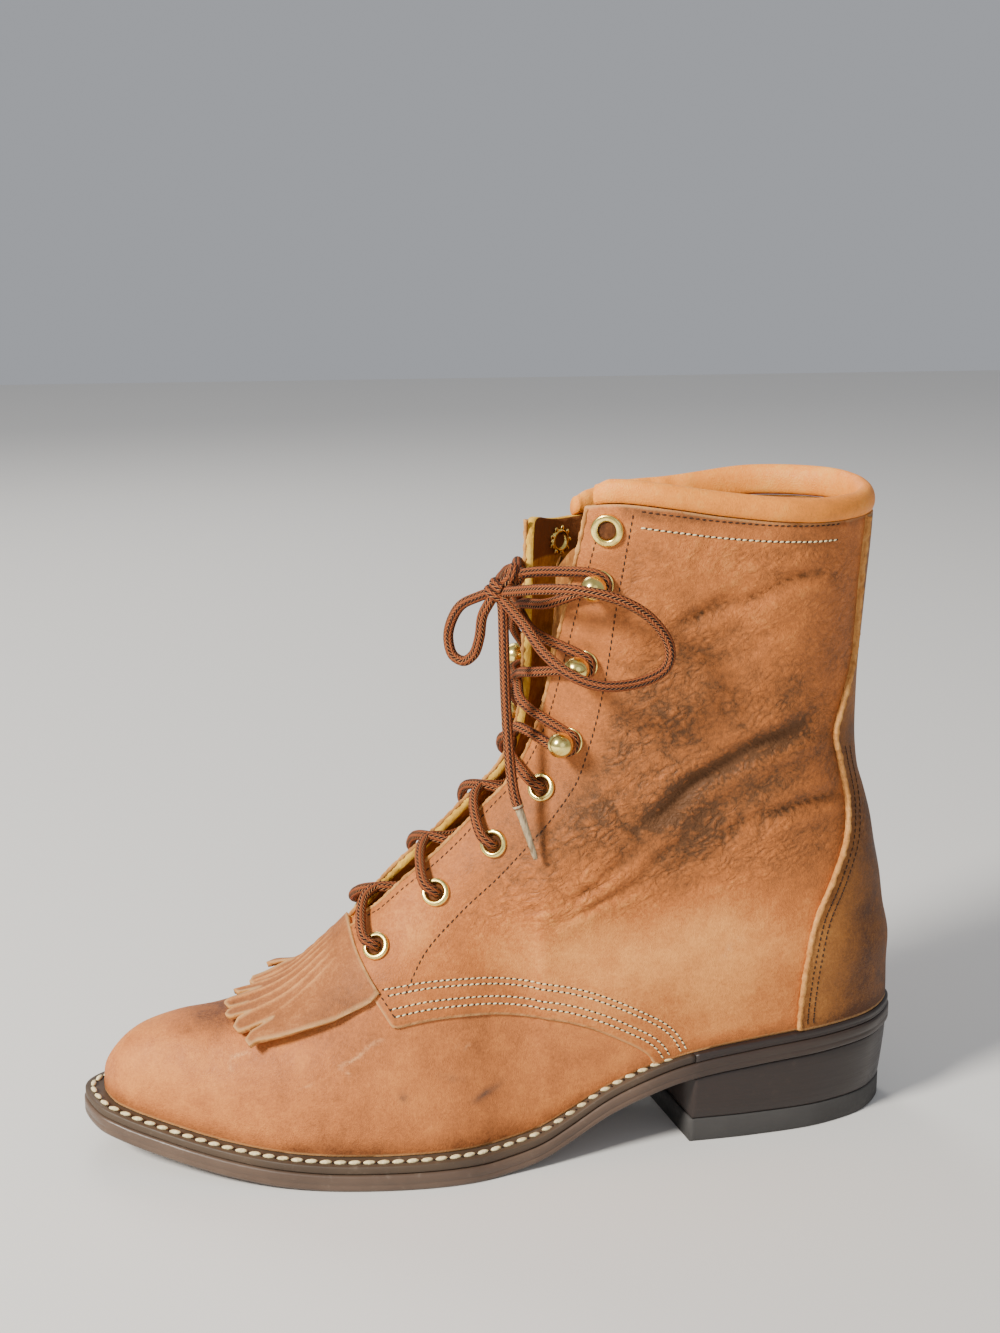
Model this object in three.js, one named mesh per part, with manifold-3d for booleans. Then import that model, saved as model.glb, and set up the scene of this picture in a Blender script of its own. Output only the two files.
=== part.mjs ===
// Lace-up boot for the left foot, in millimetres.
// The toe points to -X, the heel to +X, the outer (lateral) side is -Y and the floor is z = 0.
import * as THREE from "three";
import { mergeVertices } from "three/addons/utils/BufferGeometryUtils.js";
import Module from "manifold-3d";

const wasm = await Module();
wasm.setup();

// Driving sizes of the sole.
const SOLE_LENGTH = 305;
const BALL_WIDTH = 100;
const TOE_SPRING = 13;
const HEEL_RISE = 32;
const LIFT_THICKNESS = 9;
const OUTSOLE_THICKNESS = 6.2;
const WELT_THICKNESS = 3;
const WELT_SHELF = 7.5;
const HEEL_SHELF = 4;
const INSOLE_THICKNESS = 3;
const HEEL_LENGTH = 90;
const BREAST_SLANT = 9;
const HEEL_TAPER = 2.4;

// Driving sizes of the upper.
const UPPER_HEIGHT = 200;
const SHAFT_WIDTH = 76;
const WALL = 1.8;
const OVERLAY = 1.3;
const CUFF_HEIGHT = 8.4;
const CUFF_WIDTH = 7.4;
const TONGUE_THICKNESS = 2;
const TONGUE_WIDTH = 40;
const TONGUE_DEPTH = 10.6;
const KILTIE_THICKNESS = 2;
const SLIT_WIDTH = 1.1;

// Driving sizes of the lacing.
const LACE_DIAMETER = 3.7;
const EYELET_HOLE = 6.1;
const EYELET_FLANGE = 10.3;
const TOP_EYELET_FLANGE = 11.4;
const TOP_EYELET_HOLE = 6.2;
const FLANGE_RISE = 1.1;
const HOOK_BALL = 9;
const HOOK_BASE = 9;
const HOOK_NECK = 3.8;
const KNOT_SIZE = 9.6;

// Clearance between neighbours, the stand-off of a fitting over the curved skin, and how far
// cutters run past what they trim.
const GAP = 0.3;
const FITTING_SEAT = 0.6;
const BEYOND = 4;

const LACE_RADIUS = LACE_DIAMETER / 2;
const QUARTER = OVERLAY;
const COUNTER = 2 * OVERLAY;
const SEAT_THICKNESS = OUTSOLE_THICKNESS + GAP + WELT_THICKNESS;

// Colours of the finishes.
const LEATHER = { color: 0xb0744a, roughness: 0.62, metalness: 0 };
const CUFF_TAN = { color: 0xbe8752, roughness: 0.6, metalness: 0 };
const SUEDE = { color: 0xb08a52, roughness: 0.9, metalness: 0 };
const SOLE_BROWN = { color: 0x463c37, roughness: 0.55, metalness: 0 };
const LIFT_GREY = { color: 0x504e48, roughness: 0.8, metalness: 0 };
const BRASS = { color: 0xe6d796, roughness: 0.25, metalness: 1 };
const LACE_BROWN = { color: 0x8a5034, roughness: 0.85, metalness: 0 };

// Sole outline seen from above, as shares of the sole length and the ball width, from the toe tip
// along the lateral side to the heel and back along the medial side.
const OUTLINE = [
  { x: -0.5, y: 0.06 }, { x: -0.482, y: -0.1 }, { x: -0.455, y: -0.17 }, { x: -0.415, y: -0.24 },
  { x: -0.36, y: -0.325 }, { x: -0.27, y: -0.428 }, { x: -0.19, y: -0.48 }, { x: -0.11, y: -0.5 },
  { x: -0.055, y: -0.488 }, { x: 0, y: -0.445 }, { x: 0.098, y: -0.378 }, { x: 0.197, y: -0.345 },
  { x: 0.295, y: -0.33 }, { x: 0.393, y: -0.285 }, { x: 0.466, y: -0.175 }, { x: 0.5, y: 0 },
  { x: 0.466, y: 0.17 }, { x: 0.393, y: 0.28 }, { x: 0.295, y: 0.325 }, { x: 0.197, y: 0.32 },
  { x: 0.115, y: 0.31 }, { x: 0.033, y: 0.335 }, { x: -0.066, y: 0.415 }, { x: -0.164, y: 0.49 },
  { x: -0.246, y: 0.495 }, { x: -0.328, y: 0.445 }, { x: -0.41, y: 0.35 }, { x: -0.472, y: 0.215 },
];

// Underside of the sole: the shares of the toe spring and of the heel rise along the length.
const UNDERSIDE = [
  { x: -0.5, toe: 1, heel: 0 }, { x: -0.43, toe: 0.64, heel: 0 }, { x: -0.377, toe: 0.41, heel: 0 },
  { x: -0.328, toe: 0.22, heel: 0 }, { x: -0.28, toe: 0.09, heel: 0 }, { x: -0.23, toe: 0.02, heel: 0 },
  { x: -0.19, toe: 0, heel: 0 }, { x: -0.06, toe: 0, heel: 0 }, { x: -0.02, toe: 0, heel: 0.01 },
  { x: 0.03, toe: 0, heel: 0.09 }, { x: 0.066, toe: 0, heel: 0.24 }, { x: 0.115, toe: 0, heel: 0.49 },
  { x: 0.164, toe: 0, heel: 0.67 }, { x: 0.205, toe: 0, heel: 0.785 }, { x: 0.262, toe: 0, heel: 0.88 },
  { x: 0.36, toe: 0, heel: 0.96 }, { x: 0.5, toe: 0, heel: 1 },
];

// Front silhouette of the upper from the toe tip to the collar; h is the height over the sole's
// seat as a share of the upper's height.
const FRONT = [
  { x: -0.4755, h: -0.02 }, { x: -0.4755, h: 0.02 }, { x: -0.472, h: 0.055 }, { x: -0.457, h: 0.095 },
  { x: -0.43, h: 0.135 }, { x: -0.385, h: 0.168 }, { x: -0.335, h: 0.19 }, { x: -0.28, h: 0.228 },
  { x: -0.228, h: 0.285 }, { x: -0.18, h: 0.355 }, { x: -0.15, h: 0.407 }, { x: -0.115, h: 0.465 },
  { x: -0.082, h: 0.51 }, { x: -0.052, h: 0.555 }, { x: -0.024, h: 0.593 }, { x: 0.002, h: 0.625 },
  { x: 0.017, h: 0.665 }, { x: 0.026, h: 0.71 }, { x: 0.032, h: 0.78 }, { x: 0.034, h: 0.9 },
  { x: 0.036, h: 1.05 }, { x: 0.036, h: 1.24 },
];

// Back silhouette from the heel seat to the collar.
const BACK = [
  { x: 0.487, h: -0.02 }, { x: 0.486, h: 0.03 }, { x: 0.484, h: 0.08 }, { x: 0.483, h: 0.135 },
  { x: 0.474, h: 0.193 }, { x: 0.467, h: 0.258 }, { x: 0.458, h: 0.318 }, { x: 0.451, h: 0.373 },
  { x: 0.442, h: 0.422 }, { x: 0.433, h: 0.465 }, { x: 0.427, h: 0.528 }, { x: 0.425, h: 0.598 },
  { x: 0.425, h: 0.672 }, { x: 0.428, h: 0.742 }, { x: 0.431, h: 0.812 }, { x: 0.434, h: 0.888 },
  { x: 0.435, h: 0.97 }, { x: 0.435, h: 1.04 },
];

// Half width of the shaft and heel up the height, as a share of the shaft width.
const SHAFT = [
  { h: 0, half: 0.4 }, { h: 0.12, half: 0.415 }, { h: 0.3, half: 0.41 }, { h: 0.5, half: 0.42 },
  { h: 0.7, half: 0.445 }, { h: 0.9, half: 0.47 }, { h: 1.1, half: 0.48 },
];

// Fullness of the cross sections along the foot: boxy at the toe, peaked at the instep.
const FULLNESS = [
  { x: -0.48, power: 2.7 }, { x: -0.36, power: 2.6 }, { x: -0.24, power: 2.1 },
  { x: -0.12, power: 1.75 }, { x: 0.1, power: 1.7 },
];

// Top edge of the cuff on each side, as heights over the seat in shares of the upper's height.
const RIM = [
  { x: 0.03, lateral: 1.19, medial: 1.09 }, { x: 0.095, lateral: 1.13, medial: 1.04 },
  { x: 0.216, lateral: 1.038, medial: 0.99 }, { x: 0.334, lateral: 0.995, medial: 0.99 },
  { x: 0.44, lateral: 0.985, medial: 0.987 },
];

// Throat: half gap on each side of the front line, as shares of the shaft width.
const THROAT = [
  { h: 0.385, lateral: 0.06, medial: 0.06 }, { h: 0.41, lateral: 0.1, medial: 0.1 },
  { h: 0.5, lateral: 0.115, medial: 0.115 }, { h: 0.63, lateral: 0.13, medial: 0.125 },
  { h: 0.78, lateral: 0.2, medial: 0.13 }, { h: 0.95, lateral: 0.28, medial: 0.13 },
  { h: 1.15, lateral: 0.355, medial: 0.135 }, { h: 1.3, lateral: 0.38, medial: 0.14 },
];

// Lower edge of the quarters from the waist forward, and their front edge up to the throat.
const QUARTER_EDGE = [
  { x: 0.18, h: -0.06 }, { x: 0.167, h: 0.02 }, { x: 0.129, h: 0.083 }, { x: 0.081, h: 0.153 },
  { x: 0.022, h: 0.212 }, { x: -0.038, h: 0.236 }, { x: -0.097, h: 0.235 }, { x: -0.139, h: 0.224 },
  { x: -0.153, h: 0.258 }, { x: -0.168, h: 0.294 }, { x: -0.181, h: 0.335 }, { x: -0.186, h: 0.37 },
  { x: -0.21, h: 0.6 },
];

// Raw front edge of the heel counter and backstay, from the seat to the collar.
const COUNTER_EDGE = [
  { x: 0.35, h: -0.06 }, { x: 0.351, h: 0.066 }, { x: 0.354, h: 0.149 }, { x: 0.363, h: 0.224 },
  { x: 0.383, h: 0.292 }, { x: 0.401, h: 0.359 }, { x: 0.405, h: 0.429 }, { x: 0.394, h: 0.496 },
  { x: 0.383, h: 0.557 }, { x: 0.393, h: 0.617 }, { x: 0.407, h: 0.684 }, { x: 0.41, h: 0.776 },
  { x: 0.412, h: 0.867 }, { x: 0.415, h: 0.937 }, { x: 0.416, h: 1.06 },
];

// Eyelets from the toe up; the last row is the larger pair under the cuff.
const EYELETS = [
  { x: -0.151, h: 0.351, medial_x: -0.151, medial_h: 0.351, flange: EYELET_FLANGE, hole: EYELET_HOLE },
  { x: -0.081, h: 0.443, medial_x: -0.081, medial_h: 0.443, flange: EYELET_FLANGE, hole: EYELET_HOLE },
  { x: -0.013, h: 0.53, medial_x: -0.015, medial_h: 0.528, flange: EYELET_FLANGE, hole: EYELET_HOLE },
  { x: 0.042, h: 0.614, medial_x: 0.036, medial_h: 0.608, flange: EYELET_FLANGE, hole: EYELET_HOLE },
  { x: 0.108, h: 1.025, medial_x: 0.084, medial_h: 0.98, flange: TOP_EYELET_FLANGE, hole: TOP_EYELET_HOLE },
];

// Ball hooks between the fourth eyelet and the top eyelet.
const HOOKS = [
  { x: 0.073, h: 0.679, medial_x: 0.055, medial_h: 0.67 },
  { x: 0.0875, h: 0.808, medial_x: 0.059, medial_h: 0.785 },
  { x: 0.1015, h: 0.938, medial_x: 0.063, medial_h: 0.9 },
];

// Stations of the upper: each is a slanted section from a share of the front line to a share of
// the base line, which runs along the seat and then up the back.
const STATIONS = [
  { front: 0, base: 0, steps: 6 }, { front: 0.18, base: 0.085, steps: 6 },
  { front: 0.345, base: 0.27, steps: 8 }, { front: 0.6, base: 0.595, steps: 7 },
  { front: 1, base: 1, steps: 0 },
];
const SIDE_STEPS = 9;

// Catmull-Rom through the rows of a table, read as a function of its first column.
function curve(rows, key, value) {
  return (at) => {
    const last = rows.length - 1;
    if (at <= rows[0][key]) return rows[0][value];
    if (at >= rows[last][key]) return rows[last][value];
    let i = 0;
    while (rows[i + 1][key] < at) i += 1;
    const slope = (j) => {
      const a = rows[Math.max(j - 1, 0)];
      const b = rows[Math.min(j + 1, last)];
      return (b[value] - a[value]) / (b[key] - a[key]);
    };
    const span = rows[i + 1][key] - rows[i][key];
    const t = (at - rows[i][key]) / span;
    const from = rows[i][value];
    const to = rows[i + 1][value];
    return from * (1 + 2 * t) * (1 - t) ** 2 + to * t * t * (3 - 2 * t)
      + slope(i) * span * t * (1 - t) ** 2 - slope(i + 1) * span * t * t * (1 - t);
  };
}

const clamp = THREE.MathUtils.clamp;
const smooth = (t) => THREE.MathUtils.smoothstep(t, 0, 1);
const mix = (a, b, t) => a + (b - a) * t;

// Underside of the outsole and the seat that the upper stands on.
const toeShare = curve(UNDERSIDE, "x", "toe");
const heelShare = curve(UNDERSIDE, "x", "heel");
const underside = (x) => Math.max(
  0, TOE_SPRING * toeShare(x / SOLE_LENGTH) + HEEL_RISE * heelShare(x / SOLE_LENGTH),
);
const seat = (x) => underside(x) + SEAT_THICKNESS;

// Reads one coordinate of a polyline at a value of the other, which never falls along it.
function lookUp(points, key, value, at) {
  let low = 0;
  let high = points.length - 1;
  if (at <= points[low][key]) return points[low][value];
  if (at >= points[high][key]) return points[high][value];
  while (high - low > 1) {
    const middle = (low + high) >> 1;
    if (points[middle][key] > at) high = middle;
    else low = middle;
  }
  const span = points[high][key] - points[low][key];
  return mix(points[low][value], points[high][value], span > 0 ? (at - points[low][key]) / span : 0);
}

// Closed loops of the outline, moved inwards by a distance that may vary along the length. All
// loops have their points at the same stations of the length, so that stacked faces stay parallel.
const LOOP_STATIONS = 28;
const DENSE_POINTS = 360;
const TIP_STEP = 0.7;
const outlineCurve = new THREE.CatmullRomCurve3(
  OUTLINE.map((row) => new THREE.Vector3(row.x * SOLE_LENGTH, row.y * BALL_WIDTH, 0)), true, "centripetal",
);
const shelf = (x) => mix(WELT_SHELF, HEEL_SHELF, smooth((x / SOLE_LENGTH + 0.02) / 0.2));
const stationX = (i, count) => {
  const u = i / (count - 1);
  return (mix(u, (1 - Math.cos(Math.PI * u)) / 2, 0.4) - 0.5) * SOLE_LENGTH;
};
function denseOutline(inset) {
  const loop = [];
  for (let i = 0; i < DENSE_POINTS; i += 1) {
    const t = (i + 0.5) / DENSE_POINTS;
    const p = outlineCurve.getPoint(t);
    const along = outlineCurve.getTangent(t);
    const distance = inset(p.x);
    loop.push(new THREE.Vector2(p.x - along.y * distance, p.y + along.x * distance));
  }
  const tip = loop.reduce((best, p, i) => (p.x < loop[best].x ? i : best), 0);
  const heel = loop.reduce((best, p, i) => (p.x > loop[best].x ? i : best), 0);
  const turned = [...loop.slice(tip), ...loop.slice(0, tip)];
  const reach = (heel - tip + DENSE_POINTS) % DENSE_POINTS;
  return { lateral: turned.slice(0, reach + 1), medial: [...turned.slice(reach), turned[0]].reverse() };
}
function outline(inset) {
  const { lateral, medial } = denseOutline(inset);
  const tip = lateral[0].x;
  const heel = lateral[lateral.length - 1].x;
  const near = [];
  const far = [];
  for (let i = 0; i < LOOP_STATIONS; i += 1) {
    const fromTip = tip + TIP_STEP * (i + 0.3);
    const fromHeel = heel - TIP_STEP * (LOOP_STATIONS - 1 - i + 0.3);
    const x = Math.min(Math.max(stationX(i, LOOP_STATIONS), fromTip), fromHeel);
    near.push(new THREE.Vector2(x, lookUp(lateral, "x", "y", x)));
    far.push(new THREE.Vector2(x, lookUp(medial, "x", "y", x)));
  }
  return [...near, ...far.reverse()];
}

// Feather line where the upper meets the seat: half width and centre line of its outline.
const featherLine = denseOutline(shelf);
const featherTip = featherLine.lateral[0].x;
const featherHeel = featherLine.lateral[featherLine.lateral.length - 1].x;
function feather(x) {
  const lateral = lookUp(featherLine.lateral, "x", "y", x);
  const medial = lookUp(featherLine.medial, "x", "y", x);
  return { half: (medial - lateral) / 2, centre: (medial + lateral) / 2 };
}

// A point of the side view, from shares of the sole length and the upper's height.
const upperX = (share) => mix(
  featherTip, featherHeel, (share - FRONT[0].x) / (BACK[0].x - FRONT[0].x),
);
const spot = (row) => new THREE.Vector2(upperX(row.x), seat(upperX(row.x)) + row.h * UPPER_HEIGHT);

// The side view's lines as dense polylines.
const LINE_POINTS = 260;
const line = (rows) => new THREE.CatmullRomCurve3(
  rows.map((row) => new THREE.Vector3(spot(row).x, spot(row).y, 0)), false, "centripetal",
);
const frontLine = line(FRONT).getSpacedPoints(LINE_POINTS);
const backLine = line(BACK).getSpacedPoints(LINE_POINTS);

const ridgeHeight = (x) => lookUp(frontLine, "x", "y", x);
const frontX = (z) => lookUp(frontLine, "y", "x", z);
const backX = (z) => lookUp(backLine, "y", "x", z);

// Centre line of the upper: it follows the outline at the feather and is straight above.
const STRAIGHT_FROM = 0.3 * UPPER_HEIGHT;
const centreY = (x, z) => feather(x).centre * (1 - smooth((z - seat(x)) / STRAIGHT_FROM));

// Half width of the upper's base skin at a point of the side view.
const power = curve(FULLNESS, "x", "power");
const shaftHalf = curve(SHAFT, "h", "half");
const SHAFT_ROUND = 0.62 * SHAFT_WIDTH;
const HEEL_MIDDLE = 0.2 * SOLE_LENGTH;
const BLEND = 0.085 * SOLE_LENGTH;
const BLEND_LOW = spot({ x: 0.115, h: 0 });
const BLEND_HIGH = spot({ x: -0.033, h: 0.6 });
const roundEnd = (e) => Math.sqrt(Math.max(0, 1 - (1 - clamp(e, 0, 1)) ** 2));
function halfWidth(x, z) {
  const rise = z - seat(x);
  const up = clamp(rise / Math.max(ridgeHeight(x) - seat(x), 0.01), 0, 1);
  const foot = feather(x).half * Math.sqrt(Math.max(0, 1 - up ** power(x / SOLE_LENGTH)));
  const back = backX(z);
  const onSeat = x < HEEL_MIDDLE ? x
    : HEEL_MIDDLE + ((x - HEEL_MIDDLE) * (featherHeel - HEEL_MIDDLE)) / (back - HEEL_MIDDLE);
  const oval = shaftHalf(rise / UPPER_HEIGHT) * SHAFT_WIDTH
    * roundEnd((back - x) / SHAFT_ROUND) * roundEnd((x - frontX(z)) / SHAFT_ROUND);
  const shaft = mix(feather(onSeat).half, oval, smooth(rise / (0.2 * UPPER_HEIGHT)));
  const across = BLEND_HIGH.clone().sub(BLEND_LOW).normalize();
  const side = (x - BLEND_LOW.x) * across.y - (z - BLEND_LOW.y) * across.x;
  return mix(foot, shaft, smooth(0.5 + side / (2 * BLEND)));
}

// The base line: along the feather a little under the seat, then up the back.
const baseLine = [];
for (let i = 0; i < LINE_POINTS; i += 1) {
  const x = mix(featherTip, featherHeel, i / LINE_POINTS);
  baseLine.push(new THREE.Vector3(x, seat(x) - BEYOND, 0));
}
baseLine.push(...backLine);
function lengthsOf(points) {
  const lengths = [0];
  for (let i = 1; i < points.length; i += 1) lengths.push(lengths[i - 1] + points[i].distanceTo(points[i - 1]));
  return lengths;
}
function pointAt(points, lengths, share) {
  const target = share * lengths[lengths.length - 1];
  let i = 1;
  while (i < points.length - 1 && lengths[i] < target) i += 1;
  const span = lengths[i] - lengths[i - 1];
  return points[i - 1].clone().lerp(points[i], span > 0 ? clamp((target - lengths[i - 1]) / span, 0, 1) : 0);
}
const frontLengths = lengthsOf(frontLine);
const frontShare = (x) => lookUp(frontLine.map((p, i) => ({ x: p.x, share: i / LINE_POINTS })), "x", "share", x);
const baseLengths = lengthsOf(baseLine);

// One slanted section of the lateral or medial side, evenly spaced from the front line to the base.
const FINE_STEPS = 72;
function sectionPoints(from, to, sign) {
  const fine = [];
  for (let i = 0; i <= FINE_STEPS; i += 1) {
    const s = (1 - Math.cos((Math.PI * i) / FINE_STEPS)) / 2;
    const x = mix(from.x, to.x, s);
    const z = mix(from.y, to.y, s);
    fine.push(new THREE.Vector3(x, centreY(x, z) + sign * halfWidth(x, z), z));
  }
  const lengths = lengthsOf(fine);
  const points = [];
  for (let j = 0; j <= SIDE_STEPS; j += 1) points.push(pointAt(fine, lengths, j / SIDE_STEPS));
  return points;
}

// The upper's base skin: rings of the lateral side down and the medial side back up.
function baseRings() {
  const rings = [];
  STATIONS.slice(0, -1).forEach((row, k) => {
    const next = STATIONS[k + 1];
    for (let i = 0; i < row.steps; i += 1) {
      const t = k === 0 ? (i / row.steps) ** 1.5 : i / row.steps;
      const onBase = k === 2 ? Math.sin((Math.PI * t) / 2) : t;
      rings.push([mix(row.front, next.front, t), mix(row.base, next.base, onBase)]);
    }
  });
  rings.push([1, 1]);
  return rings.map(([front, base]) => {
    const from = pointAt(frontLine, frontLengths, front);
    const to = pointAt(baseLine, baseLengths, base);
    return [...sectionPoints(from, to, -1), ...sectionPoints(from, to, 1).reverse()];
  });
}
const RINGS = baseRings();

// Outward normals of the rings, from their neighbours along and across.
function ringNormals(rings) {
  const width = rings[0].length;
  const half = width / 2;
  return rings.map((ring, i) => ring.map((point, j) => {
    const onFront = j === 0 || j === width - 1;
    const onBase = j === half - 1 || j === half;
    const open = onBase && ring[half - 1].distanceTo(ring[half]) > 0.01;
    const before = rings[Math.max(i - 1, 0)][j];
    const after = rings[Math.min(i + 1, rings.length - 1)][j];
    let left = j - 1;
    let right = j + 1;
    if (onFront) [left, right] = [width - 2, 1];
    else if (onBase && !open) [left, right] = [half - 2, half + 1];
    else if (onBase) [left, right] = j < half ? [j - 1, j] : [j, j + 1];
    const across = ring[right].clone().sub(ring[left]);
    const normal = across.cross(after.clone().sub(before));
    return normal.lengthSq() > 0 ? normal.normalize() : new THREE.Vector3(-1, 0, 0);
  }));
}
const NORMALS = ringNormals(RINGS);

// Geometry of a loft through rings of equal counts, with both ends closed across the rings.
function loft(rings) {
  const width = rings[0].length;
  const positions = rings.flat().flatMap((p) => [p.x, p.y, p.z]);
  const index = [];
  const quad = (a, b, c, d) => index.push(a, b, c, a, c, d);
  for (let i = 0; i < rings.length - 1; i += 1) {
    for (let j = 0; j < width; j += 1) {
      const k = (j + 1) % width;
      quad(i * width + j, i * width + k, (i + 1) * width + k, (i + 1) * width + j);
    }
  }
  const top = (rings.length - 1) * width;
  for (let j = 0; j < width / 2 - 1; j += 1) {
    quad(j, width - 1 - j, width - 2 - j, j + 1);
    quad(top + j, top + j + 1, top + width - 2 - j, top + width - 1 - j);
  }
  const geometry = new THREE.BufferGeometry();
  geometry.setAttribute("position", new THREE.Float32BufferAttribute(positions, 3));
  geometry.setIndex(index);
  return geometry;
}

// A closed geometry as a solid: shared vertices merged, collapsed faces dropped, facing out.
function solid(geometry, matrix = new THREE.Matrix4()) {
  const bare = new THREE.BufferGeometry();
  bare.setAttribute("position", geometry.getAttribute("position").clone());
  if (geometry.index) bare.setIndex(geometry.index);
  bare.applyMatrix4(matrix);
  const merged = mergeVertices(bare, 1e-3);
  const kept = [];
  const old = merged.index.array;
  for (let i = 0; i < old.length; i += 3) {
    const [a, b, c] = [old[i], old[i + 1], old[i + 2]];
    if (a !== b && b !== c && a !== c) kept.push(a, b, c);
  }
  const build = (order) => new wasm.Manifold(new wasm.Mesh({
    numProp: 3,
    vertProperties: new Float32Array(merged.attributes.position.array),
    triVerts: new Uint32Array(order),
  }));
  const made = build(kept);
  if (made.volume() > 0) return made;
  for (let i = 0; i < kept.length; i += 3) [kept[i], kept[i + 1]] = [kept[i + 1], kept[i]];
  return build(kept);
}

// A solid back as a geometry.
function geometryOf(body) {
  const mesh = body.getMesh();
  const geometry = new THREE.BufferGeometry();
  geometry.setAttribute("position", new THREE.BufferAttribute(mesh.vertProperties, 3));
  geometry.setIndex(new THREE.BufferAttribute(mesh.triVerts, 1));
  geometry.computeVertexNormals();
  return geometry;
}

// The upper's form, grown or shrunk by an offset along its normals.
const form = (offset) => solid(loft(
  RINGS.map((ring, i) => ring.map((p, j) => p.clone().addScaledVector(NORMALS[i][j], offset))),
));

// A side-view outline as a prism through the whole width.
const PRISM_HALF = BALL_WIDTH;
function prism(points) {
  const shape = new THREE.Shape(points);
  const geometry = new THREE.ExtrudeGeometry(shape, { depth: 2 * PRISM_HALF, bevelEnabled: false });
  const turn = new THREE.Matrix4().makeRotationX(Math.PI / 2);
  return solid(geometry, turn.premultiply(new THREE.Matrix4().makeTranslation(0, PRISM_HALF, 0)));
}

// A block between two heights over the side view, as ribs along the length.
function block(low, high, halfAcross) {
  const rings = [];
  for (let i = 0; i < LOOP_STATIONS; i += 1) {
    const x = stationX(i, LOOP_STATIONS);
    const corner = (y, height) => new THREE.Vector3(x, y, height(x, y));
    rings.push([corner(-halfAcross, low), corner(-halfAcross, high),
      corner(halfAcross, high), corner(halfAcross, low)]);
  }
  return solid(loft(rings));
}

const lateralRim = curve(RIM, "x", "lateral");
const medialRim = curve(RIM, "x", "medial");
const cuffTop = (x, y) => seat(x) + UPPER_HEIGHT
  * mix(lateralRim(x / SOLE_LENGTH), medialRim(x / SOLE_LENGTH), 0.5 + y / SHAFT_WIDTH);
const cutEdge = (x, y) => cuffTop(x, y) - CUFF_HEIGHT;

// Point of the skin on one side at a place of the side view, with its outward normal.
function skin(x, z, sign, offset = 0) {
  const step = 0.5;
  const centre = centreY(x, z);
  const half = halfWidth(x, z);
  const slope = (dx, dz) => (centreY(x + dx, z + dz) + sign * halfWidth(x + dx, z + dz)
    - centreY(x - dx, z - dz) - sign * halfWidth(x - dx, z - dz)) / (2 * step);
  const normal = new THREE.Vector3(-sign * slope(step, 0), 1, -sign * slope(0, step));
  normal.set(normal.x, sign, normal.z).normalize();
  const point = new THREE.Vector3(x, centre + sign * half, z);
  return { point: point.addScaledVector(normal, offset), normal };
}

// Front line point and its outward direction in the side view at a height share.
const throatLateral = curve(THROAT, "h", "lateral");
const throatMedial = curve(THROAT, "h", "medial");
function frontAt(share) {
  const p = pointAt(frontLine, frontLengths, share);
  const a = pointAt(frontLine, frontLengths, Math.max(share - 0.01, 0));
  const b = pointAt(frontLine, frontLengths, Math.min(share + 0.01, 1));
  const along = b.sub(a).normalize();
  return { point: p, out: new THREE.Vector3(-along.y, along.x, 0), height: (p.y - seat(p.x)) / UPPER_HEIGHT };
}

// Skin point at a distance across the front line, on the section that starts at a share of it.
function acrossFront(share, y, offset) {
  const target = Math.abs(y);
  const { point, out } = frontAt(share);
  const inward = out.clone().negate();
  const reach = 0.45 * SHAFT_WIDTH;
  let low = 0;
  let high = reach;
  for (let i = 0; i < 30; i += 1) {
    const middle = (low + high) / 2;
    const at = point.clone().addScaledVector(inward, middle);
    if (halfWidth(at.x, at.y) < target) low = middle;
    else high = middle;
  }
  const depth = (low + high) / 2;
  const at = point.clone().addScaledVector(inward, depth - offset);
  return new THREE.Vector3(at.x, centreY(at.x, at.y) + y, at.y);
}

// The throat's cutter: a ribbon along the front line, as wide as the gap between the facings.
const THROAT_START = frontShare(upperX(-0.182));
const THROAT_RIBS = 26;
function throat(grow, start = THROAT_START) {
  const rings = [];
  for (let i = 0; i <= THROAT_RIBS; i += 1) {
    const { point, out, height } = frontAt(mix(start, 1, i / THROAT_RIBS));
    const lateral = -throatLateral(height) * SHAFT_WIDTH + grow;
    const medial = throatMedial(height) * SHAFT_WIDTH - grow;
    const place = (y, depth) => new THREE.Vector3(point.x + out.x * depth, y, point.y + out.y * depth);
    const deep = -0.36 * SHAFT_WIDTH;
    const proud = 0.2 * SHAFT_WIDTH;
    rings.push([place(lateral, deep), place(lateral, proud), place(medial, proud), place(medial, deep)]);
  }
  return solid(loft(rings));
}

// A cylinder along a normal, as a cutter.
const UP = new THREE.Vector3(0, 1, 0);
function placed(point, normal) {
  const turn = new THREE.Quaternion().setFromUnitVectors(UP, normal);
  return new THREE.Matrix4().compose(point, turn, new THREE.Vector3(1, 1, 1));
}

const sides = [{ name: "lateral", sign: -1 }, { name: "medial", sign: 1 }];
function fittings(rows) {
  return rows.flatMap((row, i) => sides.map(({ name, sign }) => {
    const at = sign < 0 ? spot(row) : spot({ x: row.medial_x, h: row.medial_h });
    return { row, number: i + 1, side: name, sign, ...skin(at.x, at.y, sign, QUARTER) };
  }));
}
const eyelets = fittings(EYELETS);
const hooks = fittings(HOOKS);

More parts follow.
